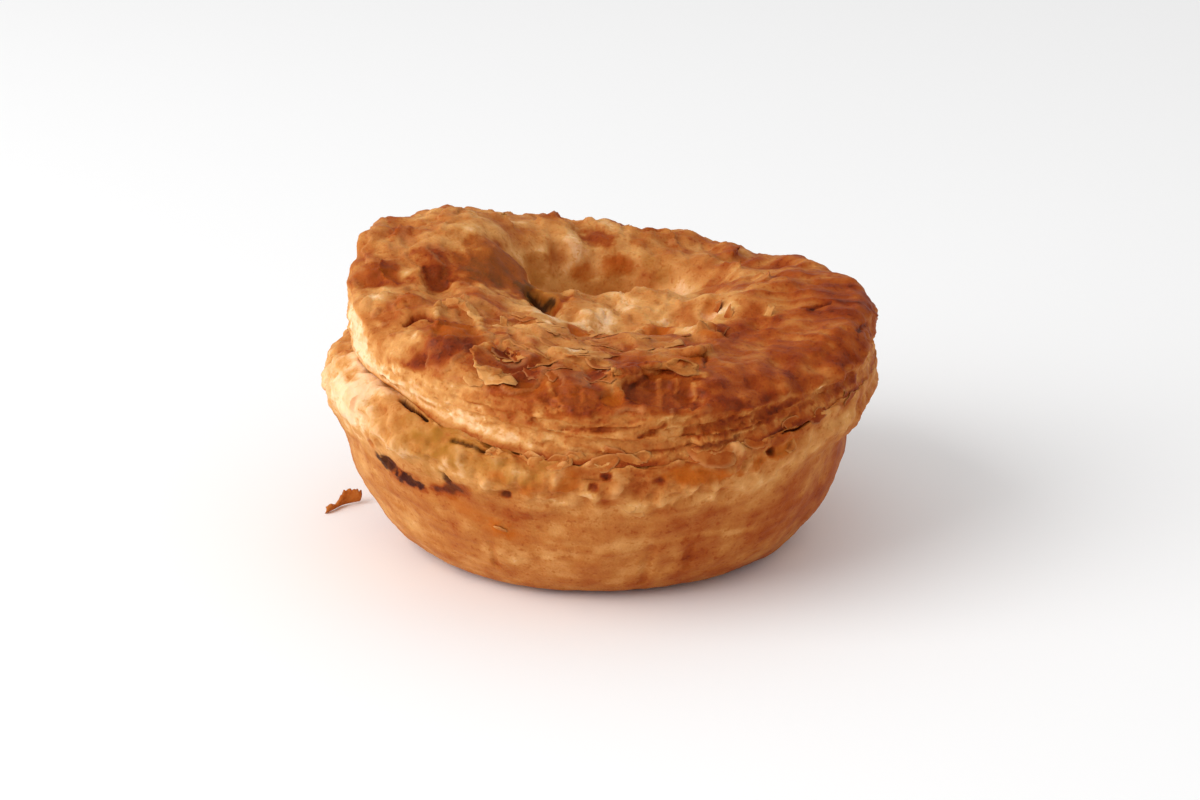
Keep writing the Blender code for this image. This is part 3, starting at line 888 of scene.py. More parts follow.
def paint(mesh, **amounts):
    """Stores a number of each kind for every point of a mesh, 0 for a kind that isn't given."""
    for kind in KINDS:
        values = np.zeros(len(mesh.vertices), np.float32)
        values[:] = amounts.get(kind, 0)
        mesh.attributes.new(kind, "FLOAT", "POINT").data.foreach_set("value", values)


surfaces = [BVHTree.FromObject(part, bpy.context.evaluated_depsgraph_get()) for part in (lid, case)]
print("the lid has", len(BROWNED_AND_SHADED) + len(PALER), "marks in its browning")

# %% Browning and painted shade of the lid
BOWL_CENTRE_MM = 8
TOP_BAKE = 0.25
TOP_RIM_BAKE = 0.25
FRONT_RIM_BAKE = 0.12
BLOTCH_BAKE = 0.18
SMALL_BLOTCH_BAKE = 0.12
SIDE_BAKE = 0.20
SIDE_FRONT_BAKE = 0.16
CRUST_BAKE = 0.24
LEDGE_BAKE = 0.22
DARKEST_CRUST = 0.86
GROOVE_PAINTED_SHADE = 0.24
CRACK_PAINTED_SHADE = 0.30
CAVITY_PAINTED_SHADE = 0.42
PALE_CREST = 0.20
PALE_LIP = 0.12
RIDGE_PAINTED_HIGHLIGHT = 0.28
ARCH_PAINTED_SHADOW = 0.25
VENT_PAINTED_SHADE = 0.45
LID_GAP_PAINTED_SHADE = 0.5
from_middle = radius_of(lid_points - (0, BOWL_CENTRE_MM, 0))
front_rim = ease(36, 46, from_middle) * ease(10, -25, lid_points[:, 1])
top_bake = TOP_BAKE + TOP_RIM_BAKE * ease(16, 38, from_middle)
top_bake += FRONT_RIM_BAKE * front_rim + 0.0010 * lid_points[:, 0]
top_bake += BLOTCH_BAKE * crumple(lid_points, 12.0, 71)
top_bake += SMALL_BLOTCH_BAKE * crumple(lid_points, 4.0, 73) * (1 - 0.6 * lid_in_middle)
top_bake -= 0.10 * lid_crags * (1 - at_right)
side_bake = SIDE_BAKE + SIDE_FRONT_BAKE * ease(-36, -5, lid_points[:, 0])
side_bake += CRUST_BAKE * crust + 0.07 * lid_layers
side_bake += 0.10 * crumple(lid_points, 8.0, 75) + 0.08 * crumple(lid_points, 1.6, 77)
side_bake += broken * (0.10 - LEDGE_BAKE * ledges)
side_bake += 0.06 * ease(-14, 0, lid_points[:, 0]) * ease(28, 18, lid_points[:, 0])
lid_bake = top_bake * (1 - lid_on_side) + side_bake * lid_on_side
lid_bake += add_marks(lid_now, BROWNED_AND_SHADED) - add_marks(lid_now, PALER)
lid_bake = np.minimum(lid_bake, DARKEST_CRUST) + 0.06 * stroke(lid_now, JOINT_LINE, 5.0)
# painted shade in the groove under the crust's overhang at the right
lid_bake += GROOVE_PAINTED_SHADE * stroke(lid_now, GROOVE_UNDER_CRUST, 3.6)
# painted shade in the cracks, less on the side
lid_bake += lid_cracks * (CRACK_PAINTED_SHADE - 0.14 * lid_on_side)
# painted shade along the floor of the bowl, behind the lumps
lid_bake += 0.08 * stroke(lid_now, BOWL_SHADE, 7.0)
# painted shade in the crescent cavity beside the blister; the crest above it is paler
lid_bake += CAVITY_PAINTED_SHADE * cavity - PALE_CREST * blister_crest * (1 - cavity)
lid_bake -= PALE_LIP * stroke(lid_now, LID_LIP, 7.0) * ease(12, -20, lid_points[:, 0])
lid_bake += 0.10 * at_right * lid_wrinkles
# painted highlight: the raised ridges in the windows are painted paler where they catch the light
lid_bake = np.minimum(lid_bake, 1 - 0.15 * ease(0.3, 0.7, window)) - RIDGE_PAINTED_HIGHLIGHT * window_ridges
# painted shadow along the arch under the flap, and the flap's edge above it paler
lid_bake += ARCH_PAINTED_SHADOW * stroke(lid_now, WINDOW_ARCH, 1.3) - 0.16 * stroke(lid_now, FLAP_EDGE, 2.2)
# painted shade round the vent and in the open joint
lid_bake += VENT_PAINTED_SHADE * stroke(lid_now, VENT_SHADE_LINE, 8.0) + LID_GAP_PAINTED_SHADE * lid_gap
lid_edges = scale_edges * scaly * (1 - lid_in_middle) * (1 - at_right)
paint(
    lid.data,
    bake=lid_bake,
    pale_edge=0.20 * lid_edges,
    # near-black painted shade in the vent and in the open joint
    gap=np.maximum(0.85 * stroke(lid_now, VENT_SHADE_LINE, 2.2), 0.9 * lid_gap),
    # olive of the painted shade in the crater, its bowl and the vent
    stain=add_marks(lid_now, LID_OLIVE_SHADE),
    sauce=add_marks(lid_now, LID_ORANGE),
    glaze=0.10 * np.maximum(window, patch(lid_now, BLISTER_GLOSS)),
)
print("the lid's browning runs from", lid_bake.min().round(2), "to", lid_bake.max().round(2))

# %% Marks in the case's browning
SAUCE_SPOTS = {
    "orange patch": ((700, 476, 14, 3.2, 2), 0.9),
    "orange crumbs": ((566, 482, 4, 6, 0), 0.6),
    "first orange hollow": ((497, 478, 3.4, 2.4, 0), 0.5),
    "second orange hollow": ((528, 492, 4, 2.4, 0), 0.5),
    "third orange hollow": ((555, 497, 3, 2, 0), 0.5),
    "brown smear": ((478, 518, 17, 4, -38), 0.45),
    "fold": ((500, 530, 5, 4, 0), 0.5),
    "right hollow": ((757, 464, 3.4, 2.4, 30), 0.9),
    "second right hollow": ((786, 447, 6, 3.0, 40), 0.8),
    "left spot": ((345, 350, 2, 3, 0), 0.6),
    "second left spot": ((372, 443, 2.4, 1.8, 0), 0.7),
    "third left spot": ((352, 405, 1.6, 3, 0), 0.4),
}
STAINS = {
    "under the crack": ((420, 430, 15, 9, -28), 0.50),
    "along the joint": ((478, 457, 24, 7, -12), 0.45),
    "wide part": ((465, 468, 24, 11, -10), 0.30),
    "green spot": ((546, 469, 6, 3, 0), 0.6),
    "upper left": ((366, 385, 5, 12, 20), 0.3),
}
CHARRED = {
    "burn": ((388, 463, 5.0, 3.4, -30), 0.8),
    "burn's end": ((411, 480, 3.0, 2.6, -20), 0.8),
    "small burn": ((446, 478, 1.6, 2.6, 0), 0.8),
    "row of burns": ((449, 489, 7, 1.8, 5), 0.6),
    "pit under the rim": ((508, 494, 1.6, 1.2, 0), 0.5),
}
BURN_LINE = [(380, 459), (391, 466), (402, 476), (417, 485)]
CASE_BROWNER = {
    "under the crack": ((425, 432, 13, 8, -28), 0.12),
    "along the joint": ((478, 458, 22, 6, -12), 0.07),
    "round the burn": ((402, 472, 11, 5, -34), 0.22),
    "round the row of burns": ((452, 489, 10, 3.6, 5), 0.30),
    "pit under the rim": ((508, 494, 2.6, 1.8, 0), 0.35),
    "pit": ((593, 488, 2.2, 1.8, 0), 0.50),
    "upper pit": ((606, 476, 1.8, 1.6, 0), 0.50),
    "low pit": ((659, 481, 2.0, 1.4, 0), 0.35),
    "right pit": ((769, 450, 2.2, 1.6, 0), 0.55),
    "low right": ((760, 530, 26, 14, 30), 0.06),
    "under the crumbs": ((590, 505, 26, 5, 0), 0.10),
    "below the front joint": ((600, 486, 42, 6, -2), 0.08),
    "chip on the joint": ((713, 462, 12, 7, -6), 0.16),
    "right wall": ((820, 500, 14, 30, 0), 0.06),
    "right of the tight joint": ((818, 413, 8, 5, -25), 0.10),
}
CASE_PALER = {
    "left rim": ((352, 385, 14, 18, 0), 0.22),
    "crumb lump": ((530, 472, 9, 3, -8), 0.18),
    "second crumb lump": ((560, 500, 6, 2.4, 0), 0.15),
    "pale patch": ((530, 553, 13, 4, 0), 0.10),
    "pale flakes": ((630, 508, 5, 5, 0), 0.12),
    "pale streak": ((725, 532, 13, 1.6, 5), 0.12),
    "under the right joint": ((690, 500, 20, 3, 3), 0.08),
    "right rim": ((851, 402, 6, 12, 0), 0.14),
    "foot": ((600, 574, 36, 6, 0), 0.08),
}
print("the case has", len(CASE_BROWNER) + len(CASE_PALER), "marks in its browning")

# %% Browning and painted shade of the case
CASE_BAKE = 0.24
TIN_WALL_BAKE = 0.16
PALE_CRUMB = 0.16
DARKER_FOOT = 0.14
CASE_GAP_PAINTED_SHADE = 0.4
case_bake = CASE_BAKE + TIN_WALL_BAKE * ease(-7.0, -13.0, case_over_joint)
case_bake += 0.0014 * (case_points[:, 0] + 30) + 0.10 * crumple(case_points, 11.0, 81)
case_bake += 0.05 * crumple(case_upright, 5.0, 83) + 0.06 * case_smears - PALE_CRUMB * crumbly * case_crumbs
case_bake += 0.06 * ease(-3.5, -1.0, case_over_joint) + 0.05 * crumple(case_points, 3.0, 85)
# darker towards the foot of the case
case_bake += DARKER_FOOT * (1 - ease(0.4, 2.0, case_points[:, 2]))
# painted shade in the gaps of the joint; the folds a little darker
case_bake += 0.07 * case_folds + CASE_GAP_PAINTED_SHADE * case_gap
case_bake += add_marks(case_now, CASE_BROWNER) - add_marks(case_now, CASE_PALER)
case_bake += 0.10 * stroke(case_now, JOINT_LINE, 6.0)
chips = joint_chips(case_points)
chip_rim = ease(0.15, 0.45, chips) * ease(1.2, 0.9, chips)
mottled = np.clip(0.7 + 0.35 * crumple(case_points, 2.6, 87), 0, 1)
charred = sum(amount * patch(case_now, mark, ragged=0.6) for mark, amount in CHARRED.values())
paint(
    case.data,
    bake=case_bake,
    pale_edge=0.45 * crumbly * ease(0.35, 0.9, case_crumbs) + 0.5 * chip_rim,
    # near-black painted shade in the open joint and the groove over the chip
    gap=0.9 * case_gap,
    stain=mottled * add_marks(case_now, STAINS),
    sauce=add_marks(case_now, SAUCE_SPOTS),
    char=np.maximum(charred, 0.9 * stroke(case_now, BURN_LINE, 2.4, ragged=0.9)),
)
print("the case's browning runs from", case_bake.min().round(2), "to", case_bake.max().round(2))

# %% [markdown]
# ## Materials
#
# Both pastries are the same stuff, flour and butter, baked. Dough is a little see-through, so light
# spreads in it by about a millimetre and softens its shadows. Colour comes from sugar and protein
# that brown in the heat, and runs from cream through gold and chestnut to nearly black.

# %% Colours and nodes
def linear(hex_colour):
    """The linear colour of an sRGB hex value."""
    parts = [int(hex_colour[place : place + 2], 16) / 255 for place in (1, 3, 5)]
    return (*[p / 12.92 if p <= 0.04045 else ((p + 0.055) / 1.055) ** 2.4 for p in parts], 1.0)


def feed(tree, node, inputs):
    """Sets a node's inputs, each one to a value or to a link from another node's socket."""
    for name, value in inputs.items():
        if isinstance(value, bpy.types.NodeSocket):
            tree.links.new(value, node.inputs[name])
        else:
            node.inputs[name].default_value = value


def add(tree, kind, inputs=None, **settings):
    """Adds a node. Settings are its own properties, and an input is a value or a socket to link."""
    node = tree.nodes.new("ShaderNode" + kind)
    for name, value in settings.items():
        setattr(node, name, value)
    feed(tree, node, inputs or {})
    return node


print("cream dough is", [round(part, 2) for part in linear("#f5cda0")[:3]], "in linear light")

# %% Baked pastry
BAKED = [
    (0.0, "#f5cda0"),
    (0.2, "#d59857"),
    (0.4, "#ba7234"),
    (0.6, "#9f4a14"),
    (0.8, "#812e04"),
    (1.0, "#4e1802"),
]
LAYERS_OF_COLOUR = {
    "pale_edge": "#dea064",
    # stained sauce on the case, and on the lid the olive of the painted shade in the crater and the vent
    "stain": "#a86c24",
    "sauce": "#b4580c",
    "char": "#2c0a0a",
    # painted shade: the near-black of the vent and of the gaps in the joint
    "gap": "#1f0d03",
}
MOTTLE_MM = 2.6
MOTTLE_BAKE = 0.18
GRAIN_MM = 0.5
GRAIN_BAKE = 0.14
MEAN_UNEVENNESS = 0.16
SPECKLE_MM = 1.0
BUMP_MM = 0.16
LIGHT_REACH_MM = 1.0
SHINY_WASH = 0.35


def noise(tree, place, width_mm, detail):
    """A noise with lumps of a real width."""
    inputs = {"Vector": place, "Scale": 1 / (width_mm * MM), "Detail": detail}
    return add(tree, "TexNoise", inputs).outputs["Fac"]


def scaled_sum(tree, value, factor, addend):
    """A value times a factor, plus an addend."""
    return add(tree, "Math", {0: value, 1: factor, 2: addend}, operation="MULTIPLY_ADD").outputs[0]


def browning_ramp(tree, amount):
    """The colour of dough for an amount of browning, with painted shade in it, from 0 to 1."""
    ramp = add(tree, "ValToRGB", {"Fac": amount})
    stops = ramp.color_ramp.elements
    while len(stops) < len(BAKED):
        stops.new(0.5)
    for stop, (position, colour) in zip(stops, BAKED):
        stop.position = position
        stop.color = linear(colour)
    return ramp.outputs["Color"]


def baked_pastry(name, pale_roughness, brown_roughness, speckle, see_through):
    """A baked dough that reads the numbers stored on its points."""
    made = bpy.data.materials.new(name)
    made.use_nodes = True
    tree = made.node_tree
    place = add(tree, "TexCoord").outputs["Object"]
    stored = {kind: add(tree, "Attribute", attribute_name=kind).outputs["Fac"] for kind in KINDS}
    mottle = noise(tree, place, MOTTLE_MM, 4.0)
    grain = noise(tree, place, GRAIN_MM, 3.0)
    dots = noise(tree, place, SPECKLE_MM, 1.0)
    dots = add(tree, "MapRange", {"Value": dots, "From Min": 0.60, "From Max": 0.74, "To Max": speckle})
    uneven = scaled_sum(tree, mottle, MOTTLE_BAKE, stored["bake"])
    uneven = scaled_sum(tree, grain, GRAIN_BAKE, uneven)
    uneven = add(tree, "Math", {0: uneven, 1: dots.outputs[0]}, operation="ADD").outputs[0]
    baked = add(tree, "Math", {0: uneven, 1: MEAN_UNEVENNESS}, operation="SUBTRACT").outputs[0]
    colour = browning_ramp(tree, baked)
    for kind, tint in LAYERS_OF_COLOUR.items():
        mixer = add(tree, "Mix", {"Factor": stored[kind], 6: colour, 7: linear(tint)}, data_type="RGBA")
        colour = mixer.outputs[2]
    roughness = {
        "Value": baked,
        "From Min": 0.2,
        "From Max": 0.8,
        "To Min": pale_roughness,
        "To Max": brown_roughness,
    }
    rise = scaled_sum(tree, mottle, 1.6, grain)
    surface = {
        "Base Color": colour,
        "Roughness": add(tree, "MapRange", roughness).outputs[0],
        "Normal": add(tree, "Bump", {"Height": rise, "Distance": BUMP_MM * MM, "Strength": 0.8}).outputs[0],
        "IOR": 1.45,
        "Specular IOR Level": 0.11,
        "Subsurface Weight": see_through,
        "Subsurface Radius": (1.0, 0.45, 0.18),
        "Subsurface Scale": LIGHT_REACH_MM * MM,
        "Coat Weight": stored["glaze"],
        "Coat Roughness": SHINY_WASH,
    }
    feed(tree, tree.nodes["Principled BSDF"], surface)
    return made


# Puff pastry is rolled with butter into hundreds of layers and brushed with egg, which bakes to a dull
# sheen: smoother where it is brown, floury and rough where pale layers tore open.
puff_pastry = baked_pastry(
    "egg_washed_puff_pastry",
    pale_roughness=0.66,
    brown_roughness=0.52,
    speckle=0.10,
    see_through=0.25,
)
# Shortcrust is rubbed, not layered, and bakes against the tin without a wash, so it is matt, and only
# the fat that fries against the metal smooths its brown parts a little.
case_pastry = baked_pastry(
    "oven_baked_shortcrust",
    pale_roughness=0.70,
    brown_roughness=0.55,
    speckle=0.10,
    see_through=0.25,
)
# A single torn sheet has dried right through: brittle, even in colour and matt on both sides. At a
# fifth of a millimetre it needs no light spread inside it.
loose_pastry = baked_pastry(
    "dry_puff_pastry_sheet",
    pale_roughness=0.70,
    brown_roughness=0.62,
    speckle=0.0,
    see_through=0.0,
)
lid.data.materials.append(puff_pastry)
case.data.materials.append(case_pastry)
print("materials:", [material.name for material in bpy.data.materials])

# %% [markdown]
# ## Loose flakes
#
# The thinnest layers stand off the crust, held at one side and curled at the other. They are too thin
# and too undercut to be cut into the surface, so each is its own closed sheet, a fifth of a millimetre
# thick. Its points are dropped onto the crust below, so it follows the crags, and then its free edge
# is lifted. Some are placed where the photograph shows them, some lie across the joint, and the small
# ones are strewn by a seeded rule over the scaly crust at the front.

# %% Outline and points of one flake
FLAKE_RINGS = 4
FLAKE_SPOKES = 20
FLAKE_THICKNESS_MM = 0.20
DROP_HEIGHT_MM = 4.0
CLINGING = 0.80
ROOT_DEPTH_MM = 0.6
REST_HEIGHT_MM = 0.07


def outline_of(corners, rng):
    """How far a flake reaches along each spoke: a broken shape, or a round one with many corners."""
    ragged = min(1.0, 6 / corners) ** 2
    turns = [math.tau * (corner + rng.uniform(-0.3, 0.3)) / corners for corner in range(corners)]
    radii = [0.95 + ragged * rng.uniform(-0.3, 0.25) for _ in range(corners)]
    turns.append(turns[0] + math.tau)
    radii.append(radii[0])
    reach = []
    for spoke in range(FLAKE_SPOKES):
        turn = turns[0] + (math.tau * spoke / FLAKE_SPOKES - turns[0]) % math.tau
        side = max(corner for corner in range(corners) if turns[corner] <= turn + 1e-9)
        before, after = turn - turns[side], turns[side + 1] - turn
        straight = radii[side] * radii[side + 1] * math.sin(before + after)
        straight /= radii[side + 1] * math.sin(before) + radii[side] * math.sin(after)
        reach.append(straight * rng.uniform(0.93, 1.07))
    return np.array(reach)


def flake_sheet(centre, normal, free_way, length, width, lift, corners, rng):
    """The points of a flake's upper face in millimetres, and how far each lies from its middle."""
    free_way = free_way - normal * (free_way @ normal)
    free_way /= np.linalg.norm(free_way)
    sideways = np.cross(normal, free_way)
    reach = outline_of(corners, rng)
    skew = rng.uniform(-0.35, 0.35)
    along, over, share = [0.0], [0.0], [0.0]
    for ring in range(1, FLAKE_RINGS + 1):
        for spoke in range(FLAKE_SPOKES):
            turn = math.tau * (spoke + rng.uniform(-0.2, 0.2)) / FLAKE_SPOKES
            part = ring / FLAKE_RINGS
            along.append(part * reach[spoke] * math.cos(turn))
            over.append(part * reach[spoke] * math.sin(turn))
            share.append(part)
    along, over, share = np.array(along), np.array(over), np.array(share)
    flat = centre + np.outer(along * length / 2, free_way)
    flat += np.outer((over + skew * along) * width / 2, sideways)
    level = []
    for place in flat:
        above = Vector((place + DROP_HEIGHT_MM * normal) * MM)
        hits = [tree.ray_cast(above, Vector(-normal), 2 * DROP_HEIGHT_MM * MM)[3] for tree in surfaces]
        drops = [hit / MM for hit in hits if hit is not None]
        level.append(DROP_HEIGHT_MM - min(drops, default=DROP_HEIGHT_MM))
    level = np.array(level)
    level = CLINGING * level + (1 - CLINGING) * level.mean()
    rise = lift * ease(-0.3, 1.1, along) ** 1.4 - ROOT_DEPTH_MM * ease(0.1, -0.8, along) + REST_HEIGHT_MM
    rise += 0.15 * lift * share * np.sin(3 * over + rng.uniform(0, 6))
    return flat + np.outer(level + rise, normal), share, along


print("a flake's upper face has", 1 + FLAKE_RINGS * FLAKE_SPOKES, "points")


# %% Closed sheets
def closed(upper, count):
    """The faces of a closed sheet: the upper ones, the same ones turned over below, and the rim."""
    lower = [tuple(corner + count for corner in (face[0], *face[:0:-1])) for face in upper]
    edges = [edge for face in upper for edge in zip(face, face[1:] + face[:1])]
    shared = {(end, start) for start, end in edges}
    rim = [(start, start + count, end + count, end) for start, end in edges if (start, end) not in shared]
    return upper + lower + rim


def loose_object(name, points, faces):
    """A new object of dry pastry, from points in millimetres."""
    mesh = bpy.data.meshes.new(name)
    mesh.from_pydata([tuple(point * MM) for point in points], [], faces)
    mesh.shade_smooth()
    mesh.materials.append(loose_pastry)
    made = bpy.data.objects.new(name, mesh)
    scene.collection.objects.link(made)
    print(name, "has", len(faces), "faces")
    return made


flake_top = []
for spoke in range(FLAKE_SPOKES):
    after = (spoke + 1) % FLAKE_SPOKES
    flake_top.append((0, 1 + spoke, 1 + after))
    for ring in range(FLAKE_RINGS - 1):
        a = 1 + ring * FLAKE_SPOKES
        b = a + FLAKE_SPOKES
        flake_top.append((a + spoke, b + spoke, b + after, a + after))
one_flake = closed(flake_top, 1 + FLAKE_RINGS * FLAKE_SPOKES)
print("a closed flake has", len(one_flake), "faces")

# %% Where the flakes are
# Each has its pixel, its length and width in millimetres, the way its free edge points in degrees, its
# lift in millimetres, its browning, and its number of corners.
NAMED_FLAKES = {
    "round chip on the joint": (713, 453, 6.0, 10.4, -96, 1.2, 0.55, 14),
    "small chip on the joint": (754, 441, 3.4, 4.6, -110, 0.7, 0.54, 9),
    "crest of the blister": (440, 306, 2.4, 4, 80, 0.9, 0.40, 6),
    "second crest of the blister": (452, 303, 2.4, 4, 95, 0.9, 0.36, 6),
    "third crest of the blister": (463, 309, 2.4, 3.4, 80, 0.7, 0.40, 6),
    "edge of the flap": (684, 368, 3.4, 7.0, -92, 0.3, 0.40, 9),
    "pale flake": (494, 371, 5.0, 9, -95, 0.5, 0.24, 9),
    "pale flake's neighbour": (475, 380, 3.2, 5, -110, 0.4, 0.28, 7),
    "long thin flake": (512, 356, 2.6, 7, -90, 0.4, 0.36, 6),
    "middle flake": (545, 364, 3.6, 6, -80, 0.4, 0.38, 6),
    "flake above the small window": (600, 362, 3.6, 5, -90, 0.4, 0.36, 7),
    "flake in front of the crater": (642, 348, 3.6, 5, -85, 0.4, 0.34, 7),
    "orange chip": (703, 329, 5, 3.2, 85, 1.3, 0.46, 6),
    "upright flake": (717, 312, 4.4, 2.2, 85, 1.0, 0.52, 6),
    "second upright flake": (728, 317, 4.4, 2.2, 80, 1.0, 0.52, 6),
    "bright upright flake": (768, 315, 4, 1.8, 80, 1.4, 0.30, 6),
    "flake by the vent": (503, 323, 4, 1.8, 80, 1.3, 0.36, 6),
    "curl at the right": (790, 446, 3.0, 3.6, -40, 0.8, 0.42, 7),
    "pale flake on the case": (628, 506, 3.0, 4.0, -100, 0.3, 0.28, 6),
    "second pale flake": (637, 513, 2.4, 3.0, -90, 0.3, 0.30, 6),
    "edge of the smear": (500, 530, 2.6, 3.2, 60, 0.4, 0.42, 8),
}
BRIDGED_JOINT = JOINT_LINE[:7] + JOINT_LINE[11:]
FLAKES_AT_A_CORNER = 2
JOINT_FLAKE_LENGTHS_MM = (2.0, 3.6)
JOINT_FLAKE_LIFT_MM = 0.25
STREWN_FLAKES = 46
STREWN_LENGTHS_MM = (2.0, 5.4)
STREWN_LIFTS_MM = (0.05, 0.28)
print(len(NAMED_FLAKES), "named flakes and", STREWN_FLAKES, "strewn ones")

# %% Placing the flakes
rng = random.Random(7)
flake_points, flake_faces, flake_bake, flake_pale = [], [], [], []


def add_flake(centre, normal, free_way, length, width, lift, bake, corners):
    """Adds one closed flake to the lists."""
    sheet, share, along = flake_sheet(centre, normal, free_way, length, width, lift, corners, rng)
    base = len(flake_points)
    thin = FLAKE_THICKNESS_MM * (1 - 0.5 * share)
    flake_points.extend(sheet)
    flake_points.extend(sheet - np.outer(thin, normal))
    flake_faces.extend([tuple(base + corner for corner in face) for face in one_flake])
    shade = bake + 0.04 + 0.10 * crumple(sheet, 2.5, 91) - 0.05 * share
    edge = 0.35 * ease(0.8, 1.0, share) * ease(-0.2, 0.6, along)
    flake_bake.extend(np.concatenate([shade, shade + 0.1]))
    flake_pale.extend(np.concatenate([edge, edge]))


for px, py, length, width, tilt, lift, bake, corners in NAMED_FLAKES.values():
    centre, normal = seen_at(px, py)
    way, _ = surface_ways(normal, tilt)
    add_flake(centre, normal, way, length, width, lift, bake, corners)

for px, py in BRIDGED_JOINT:
    for _ in range(FLAKES_AT_A_CORNER):
        centre, _ = seen_at(px + rng.uniform(-12, 10), py + rng.uniform(-4, 4))
        normal = outward(centre[None])[0]
        way = np.array((rng.uniform(-0.6, 0.6), 0, rng.choice((-1, 1))))
        length = rng.uniform(*JOINT_FLAKE_LENGTHS_MM)
        bake = 0.29 + 0.0011 * (px - 480) + rng.uniform(-0.04, 0.10)
        width = length * rng.uniform(1.2, 2.4)
        add_flake(centre, normal, way, length, width, JOINT_FLAKE_LIFT_MM, bake, rng.randint(5, 8))

crust_ways = read_normals(lid.data)
chance = scaly * ease(-4, -30, lid_now[:, 1]) * ease(20, 30, from_middle)
chance *= (1 - lid_calm) ** 2 * ease(48, 45, radius_of(lid_now))
chance *= ease(-36, -24, lid_now[:, 0]) * ease(26, 14, lid_now[:, 0])
chance = np.cumsum(chance) / chance.sum()
for _ in range(STREWN_FLAKES):
    place = int(np.searchsorted(chance, rng.random()))
    length = rng.uniform(*STREWN_LENGTHS_MM)
    out_x, out_y = lid_now[place][:2]
    turn = rng.gauss(0, 0.6)
    way_x = out_x * math.cos(turn) - out_y * math.sin(turn)
    way_y = out_x * math.sin(turn) + out_y * math.cos(turn)
    up = crust_ways[place] + (0, 0, 0.6)
    up /= np.linalg.norm(up)
    bake = lid_bake[place] + rng.uniform(-0.08, 0.10)
    width = length * rng.uniform(0.9, 2.0)
    lift = rng.uniform(*STREWN_LIFTS_MM)
    way = np.array((way_x, way_y, 0))
    add_flake(lid_now[place], up, way, length, width, lift, bake, rng.randint(5, 8))

flakes = loose_object("torn_flakes", flake_points, flake_faces)
paint(flakes.data, bake=flake_bake, pale_edge=flake_pale)

# %% [markdown]
# ## The crumb that fell off
#
# One curled flake lies on the table at the left: a blunt piece with a thin tail. A strip is laid from
# the tail's end to the blunt end, with its width leaning back, so that it rests on one long edge.

# %% The fallen crumb
CRUMB_TAIL_PIXEL = (326, 514)
CRUMB_END_PIXEL = (360, 504)
CRUMB_WIDTHS_MM = (1.3, 1.6, 0.8, 1.6, 2.9, 3.1, 2.9, 2.5, 2.1)
CRUMB_STEPS = 24
CRUMB_ROWS = 6
CRUMB_THICKNESS_MM = 0.5
CRUMB_LEAN = (0.1, 0.45, 0.89)
CRUMB_BEND_MM = 1.2
CRUMB_CURL_MM = 0.5
CRUMB_WAVE_MM = 0.25
CRUMB_BAKE = 0.44


def on_table(px, py):
    """The point of the table, in millimetres, that the photograph shows at a pixel."""
    ray = sight_line(px, py)
    return np.array(camera.location + ray * (-camera.location.z / ray.z)) / MM


tail, end = on_table(*CRUMB_TAIL_PIXEL), on_table(*CRUMB_END_PIXEL)
lean = np.array(CRUMB_LEAN)
facing = np.cross(lean, (end - tail) / np.linalg.norm(end - tail))
spots = np.linspace(0, 1, len(CRUMB_WIDTHS_MM))
crumb_top = []
for step in range(CRUMB_STEPS + 1):
    part = step / CRUMB_STEPS
    width = np.interp(part, spots, CRUMB_WIDTHS_MM) * rng.uniform(0.88, 1.12)
    foot = tail + (end - tail) * part + (0, CRUMB_BEND_MM * math.sin(math.pi * part), 0.5 * part)
    for row in range(CRUMB_ROWS + 1):
        across = row / CRUMB_ROWS
        curl = CRUMB_CURL_MM * math.sin(math.pi * across) + CRUMB_WAVE_MM * math.sin(9 * part)
        crumb_top.append(foot + lean * across * width - facing * curl)
crumb_top = np.array(crumb_top)
crumb_points = np.concatenate([crumb_top, crumb_top + facing * CRUMB_THICKNESS_MM])
crumb_points[:, 2] -= crumb_points[:, 2].min()
wide = CRUMB_ROWS + 1
starts = [step * wide + row for step in range(CRUMB_STEPS) for row in range(CRUMB_ROWS)]
crumb_faces = closed([(a, a + 1, a + wide + 1, a + wide) for a in starts], len(crumb_top))
fallen_crumb = loose_object("fallen_crumb", crumb_points, crumb_faces)
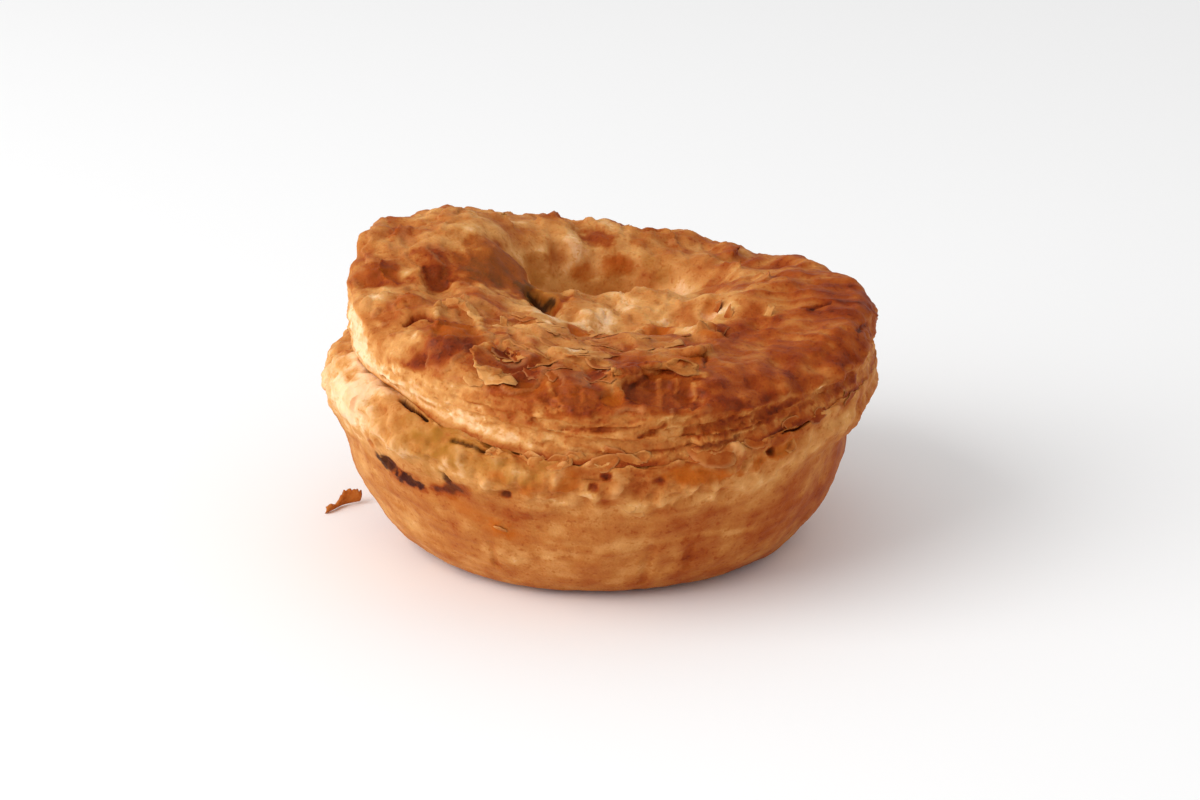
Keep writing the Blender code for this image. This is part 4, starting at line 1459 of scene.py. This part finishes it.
paint(fallen_crumb.data, bake=CRUMB_BAKE + 0.12 * crumple(crumb_points, 2.0, 95), sauce=0.30)
print("the crumb is", [round(float(side), 1) for side in np.ptp(crumb_points, axis=0)], "mm")

# %% [markdown]
# ## Table and light
#
# The table is plain white. A soft light from the left front gives the slow shading from bright left
# to warm dark right, and the white surroundings fill the rest.

# %% Table and light
HALF_TABLE = 3.0
WORLD_STRENGTH = 0.70
KEY_PLACE = (-0.95, -0.45, 0.70)
KEY_SIZE = 1.1
KEY_WATTS = 13.0
table_mesh = bpy.data.meshes.new("table")
corners = [(x * HALF_TABLE, y * HALF_TABLE, 0) for x, y in ((-1, -1), (1, -1), (1, 1), (-1, 1))]
table_mesh.from_pydata(corners, [], [(0, 1, 2, 3)])
table = bpy.data.objects.new("table", table_mesh)
scene.collection.objects.link(table)
# Matt wall paint, rolled on, scatters light evenly, so the floor shows shading but no gleam.
painted = bpy.data.materials.new("matt_white_table")
painted.use_nodes = True
matt_paint = painted.node_tree.nodes["Principled BSDF"]
feed(painted.node_tree, matt_paint, {"Base Color": linear("#fafafa"), "Roughness": 0.9})
table_mesh.materials.append(painted)

scene.world = scene.world or bpy.data.worlds.new("studio")
scene.world.use_nodes = True
surroundings = scene.world.node_tree.nodes["Background"]
white = {"Color": (1, 1, 1, 1), "Strength": WORLD_STRENGTH}
feed(scene.world.node_tree, surroundings, white)
key = bpy.data.objects.new("key_light", bpy.data.lights.new("key_light", "AREA"))
scene.collection.objects.link(key)
key.data.size = KEY_SIZE
key.data.energy = KEY_WATTS
key.location = KEY_PLACE
key.rotation_euler = (Vector((0, 0, 0.03)) - Vector(KEY_PLACE)).to_track_quat("-Z", "Y").to_euler()
scene.view_settings.view_transform = "Standard"

# %% [markdown]
# ## Joining the frame
#
# The frame has one body. Each new piece rides on it, and the solids of the lid and the case, which the new
# pieces stand in for, are hidden.

# %% Joining the frame
for piece, node, slot in ((lid, "lid", "lid_pastry"), (case, "case", "case_pastry")):
    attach(piece, "root")
    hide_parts(node)
for piece in (flakes, fallen_crumb):
    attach(piece, "root")
